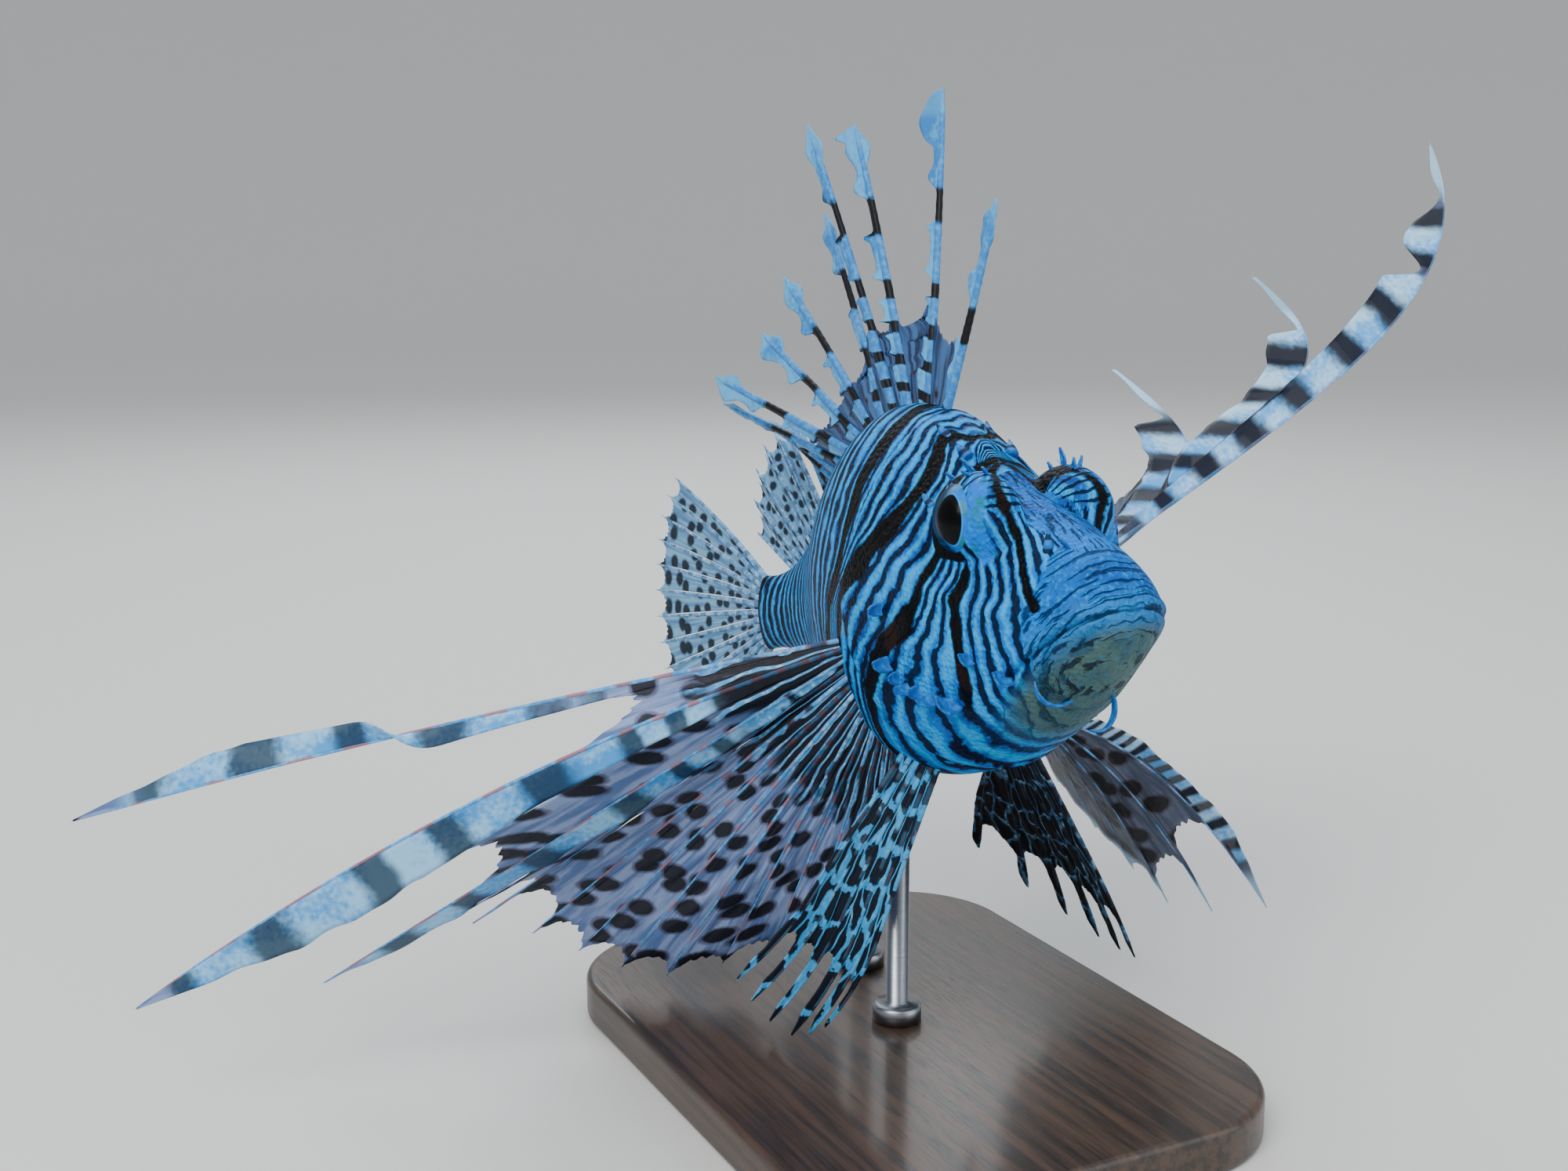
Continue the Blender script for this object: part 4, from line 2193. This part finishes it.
@dataclass
class Studio:
    """Floor, soft lights and camera."""

    lamps: tuple[Lamp, ...] = (
        Lamp("key", (0.55, -0.75, 1.05), 0.8, 18, (1.0, 0.98, 0.95)),
        Lamp("fill", (0.9, 0.8, 0.6), 1.0, 6, (0.88, 0.94, 1.0)),
        Lamp("rear", (-0.9, 0.3, 0.9), 0.8, 8, (0.92, 0.96, 1.0)),
    )
    lit: tuple[float, float, float] = (0.02, 0.0, 0.13)
    sky: tuple[float, float, float, float] = (0.86, 0.90, 0.95, 1)
    sky_strength: float = 0.8
    floor_flat: float = 2.4
    floor_rise: float = 0.3
    floor_sides: int = 96
    lens: float = 43.2
    sensor: float = 36
    nearest: float = 0.01
    place: tuple[float, float, float] = (0.3439, -0.2036, 0.1892)
    right: tuple[float, float, float] = (0.4505, 0.893, -0.001)
    up: tuple[float, float, float] = (-0.172, 0.089, 0.981)
    backward: tuple[float, float, float] = (0.876, -0.442, 0.195)

    def floor(self) -> None:
        """A wide round floor that curves up far behind the object.

        Its height is 0 on the flat part, and rise * s^2 at the distance s beyond it.
        """
        reach = np.concatenate([np.linspace(0.02, self.floor_flat, 10), np.linspace(2.6, 6.5, 24)])
        turn = np.linspace(0, FULL_TURN, self.floor_sides, endpoint=False)
        height = self.floor_rise * np.maximum(reach - self.floor_flat, 0) ** 2
        across, along = np.meshgrid(reach, turn, indexing="ij")
        points = stacked(across * np.cos(along), across * np.sin(along), height[:, None])
        points = np.concatenate([points.reshape(-1, 3), [[0, 0, 0]]])
        faces = Surface.quads(len(reach), len(turn), True)[:, ::-1].tolist()
        centre = len(points) - 1
        faces += [[k, (k + 1) % len(turn), centre] for k in range(len(turn))]
        mesh = bpy.data.meshes.new("studio_floor")
        mesh.from_pydata(points.tolist(), [], faces)
        mesh.polygons.foreach_set("use_smooth", np.ones(len(faces), dtype=bool))
        floor = bpy.data.objects.new("studio_floor", mesh)
        bpy.context.scene.collection.objects.link(floor)
        mesh.materials.append(FloorFinish().material("floor_plain"))

    def light(self, lamp: Lamp) -> None:
        """Adds one lamp, aimed at the lit point.

        Args:
            lamp: The lamp.
        """
        light = bpy.data.lights.new(lamp.name, "AREA")
        light.size = lamp.size
        light.energy = lamp.power
        light.color = lamp.tint
        piece = bpy.data.objects.new(lamp.name, light)
        place = np.array(lamp.place)
        away = unit(place - np.array(self.lit))
        side = unit(np.cross(UP, away))
        piece.matrix_world = self.frame(side, np.cross(away, side), away, place)
        bpy.context.scene.collection.objects.link(piece)

    @staticmethod
    def frame(side: Array, up: Array, back: Array, place: Array) -> list[list[float]]:
        """A 4 by 4 matrix, by column, as Blender reads it from rows.

        Args:
            side: The x axis.
            up: The y axis.
            back: The z axis.
            place: The origin.

        Returns:
            The matrix.
        """
        rows = np.eye(4)
        rows[:3] = np.stack([side, up, back, place], axis=1)
        return rows.T.tolist()

    def build(self) -> None:
        """Adds the world, floor, lights and camera."""
        world = bpy.data.worlds.new("studio_world")
        world.use_nodes = True
        background = world.node_tree.nodes["Background"]
        background.inputs["Color"].default_value = self.sky
        background.inputs["Strength"].default_value = self.sky_strength
        bpy.context.scene.world = world
        self.floor()
        for lamp in self.lamps:
            self.light(lamp)
        lens = bpy.data.cameras.new("camera")
        lens.lens = self.lens
        lens.sensor_width = self.sensor
        lens.clip_start = self.nearest
        camera = bpy.data.objects.new("camera", lens)
        axes = [unit(np.array(axis)) for axis in (self.right, self.up, self.backward)]
        camera.matrix_world = self.frame(axes[0], axes[1], axes[2], np.array(self.place))
        bpy.context.scene.collection.objects.link(camera)
        bpy.context.scene.camera = camera


SPINE_BANDS = Banding(
    ((0, 0.3), (24, 0.84), (27.5, 1), (45, 2), (54, 3), (61.5, 4), (68, 5), (74, 6), (81, 7)),
    from_tip=True, spread=0.12,
)
SHORT_BANDS = Banding(((0, 0), (60, 10)))
RIGHT_BANDS = Banding(
    ((0, 0), (12, 2.6), (32, 5), (44, 6.1), (57, 7.2), (76, 8), (99, 9), (116, 10), (142, 11),
     (163, 12), (176, 12.6)),
    spread=0.9,
)
LEFT_BANDS = Banding(
    ((0, 0), (30, 3.2), (60, 5.9), (90, 7.9), (100, 8.4), (110, 9), (118, 9.5), (128, 10),
     (138, 10.5), (180, 13)),
    spread=0.8,
)
PELVIC_BANDS = Banding(((0, 0), (30, 3.4), (70, 7)), spread=0.9)

SPINE_FINISH = FinFinish(
    web=linear(58, 104, 158), web_shade=linear(16, 34, 76), light=linear(40, 122, 196),
    white=linear(92, 174, 228), dark_share=0.36, band_softness=0.03, dash_strength=0.0, opacity=0.8,
    spot_reach=0.1, white_tip=0.5,
)
SPOTTED_FINISH = FinFinish(
    web=linear(116, 178, 214), web_shade=linear(66, 126, 180), spot=linear(6, 14, 28),
    spot_rim=linear(40, 76, 104), light=linear(84, 150, 206), dark_share=0.36, dash_strength=0.0,
    ray_bands=0.45, spot_length=5.0, spot_reach=0.33, opacity=0.8,
)
RIGHT_FINISH = FinFinish(
    web=linear(138, 158, 204), web_shade=linear(82, 112, 166), base_reach=36, dash_strength=0.7,
    light=linear(62, 150, 222), white=linear(146, 204, 244), ray_bands=0.2, band_strength=0.86,
    band_softness=0.09, dark=linear(9, 14, 28), dark_share=0.4, spot_reach=0.35, spot_length=8.6,
    opacity=0.9, bare_rays=0.2,
)
LEFT_FINISH = FinFinish(
    web=linear(92, 104, 130), web_shade=linear(48, 62, 92), spot=linear(12, 12, 18), dark=linear(14, 22, 42),
    light=linear(84, 170, 240), white=linear(180, 222, 252), dark_share=0.5, band_softness=0.12,
    dash_strength=0.3, ray_bands=0.7, base_reach=22, band_opacity=0.76, spot_reach=0.36, spot_length=8.6,
    bare_rays=0.3, white_tip=0.8,
)
RIGHT_PELVIC_FINISH = FinFinish(
    web=linear(60, 128, 176), web_shade=linear(14, 30, 54), dark=linear(7, 18, 34), vein=linear(46, 150, 212),
    white=linear(84, 176, 222), base_reach=80, spot_length=14, opacity=0.97, net=9.0, net_width=0.11,
    bare_rays=0.12,
)
LEFT_PELVIC_FINISH = FinFinish(
    web=linear(16, 20, 36), web_shade=linear(6, 10, 20), light=linear(44, 92, 136),
    white=linear(120, 160, 184), vein=linear(40, 84, 122), base_reach=80, dash_strength=0.1,
    opacity=0.97, net=10.0, net_width=0.06, bare_rays=0.1,
)


def main() -> None:
    """Builds every piece in order and reports it."""
    makers = (
        Skin(),
        Eye(Side.RIGHT),
        Eye(Side.LEFT),
        Trimmings(),
        SpinyDorsal(),
        MedianFin(
            "soft_dorsal", "dorsal_fin_soft", 11, 143.5, 169, 1,
            ((0, 46, 37), (3, 48, 43), (7, 56, 38), (10, 63, 24)), (0.9,) * 10,
        ),
        MedianFin(
            "anal_spotted", "anal_fin", 10, 132, 166, -1,
            ((0, 22, 17), (2, 30, 30), (5, 42, 42), (9, 60, 25)), (0.5, 0.65) + (0.9,) * 7,
        ),
        TailFin(),
        Pectoral(
            Side.RIGHT,
            (
                (0, 26, -8.5, 170, 0.04, 6, 0, 2.2),
                (1, 24, -22, 168, 0.15, 9.5, 0, 2.2),
                (2, 36, -27, 142, 0, 6.5, 0, 2.2),
                (3, 51, -28, 120, 0, 2, 0, 2.2),
                (7, 69, -42, 99, 0.02, 0.8, 0, 2.2),
                (9, 84, -46, 80, 0, 0.8, 0, 2.2),
                (13, 104, -56, 52, 0, 0.6, 0, 2.2),
            ),
            (0.27, 0.62, 0.76, 0.88) + (0.965,) * 9,
            ((0, 0, 0, 1), (13, 0, 0, 1)),
            RIGHT_FINISH,
            RIGHT_BANDS,
            twists=((0.5, 0.64),),
        ),
        Pectoral(
            Side.LEFT,
            (
                (0, 9.5, 36.5, 176, 0.24, 10.5, 1, 5),
                (1, 28, 33, 147, 0.223, 9.6, 1, 11),
                (2, 45.3, 28.8, 127.5, 0.295, 10.8, 1, 8),
                (4, 58, 12, 104, 0.1, 2, 0, 5),
                (7, 60, -14, 96, 0, 0.8, 0, 2.2),
                (11, 34, -38.5, 92, 0.25, 0.8, 0, 2.2),
                (13, 15, -35.5, 94, 0.46, 0.8, 0, 2.2),
            ),
            (0.46, 0.59, 0.76) + (0.96,) * 8 + (0.86, 0.74),
            ((0, 0.4064, 0.8128, -0.4572), (4, 0.4064, 0.8128, -0.4572), (7, 0, 0, 1), (13, 0, 0, 1)),
            LEFT_FINISH,
            LEFT_BANDS,
            (Edge.RIBBON, Edge.CUT, Edge.CUT, Edge.RIBBON),
            waists=((0.77, 0.915),),
            lead=4.4,
        ),
        Pelvic(
            Side.RIGHT,
            ((0, 59.6, -63.7, 62), (2, 47.8, -62.5, 64), (4, 25, -56.4, 57), (5, 10.7, -51.6, 53.5)),
            RIGHT_PELVIC_FINISH,
            PELVIC_BANDS,
            (-2.2, -4.4, 0.8),
        ),
        Pelvic(
            Side.LEFT, ((0, 24, -56, 61.5), (2, 37, -49.4, 62), (4, 55, -40.4, 54), (5, 68, -33, 45)),
            LEFT_PELVIC_FINISH,
            PELVIC_BANDS,
            (0, 0, -2.0),
        ),
    )
    pieces = [maker.build() for maker in makers]
    stand = Stand()
    pieces += [stand.base(), stand.rod("stand_rod_front"), stand.rod("stand_rod_rear")]
    for piece in pieces:
        log.info("%s: %d faces", piece.name, len(piece.data.polygons))
    Studio().build()


if __name__ == "__main__":
    logging.basicConfig(level=logging.INFO, format="%(name)s: %(message)s")
    main()
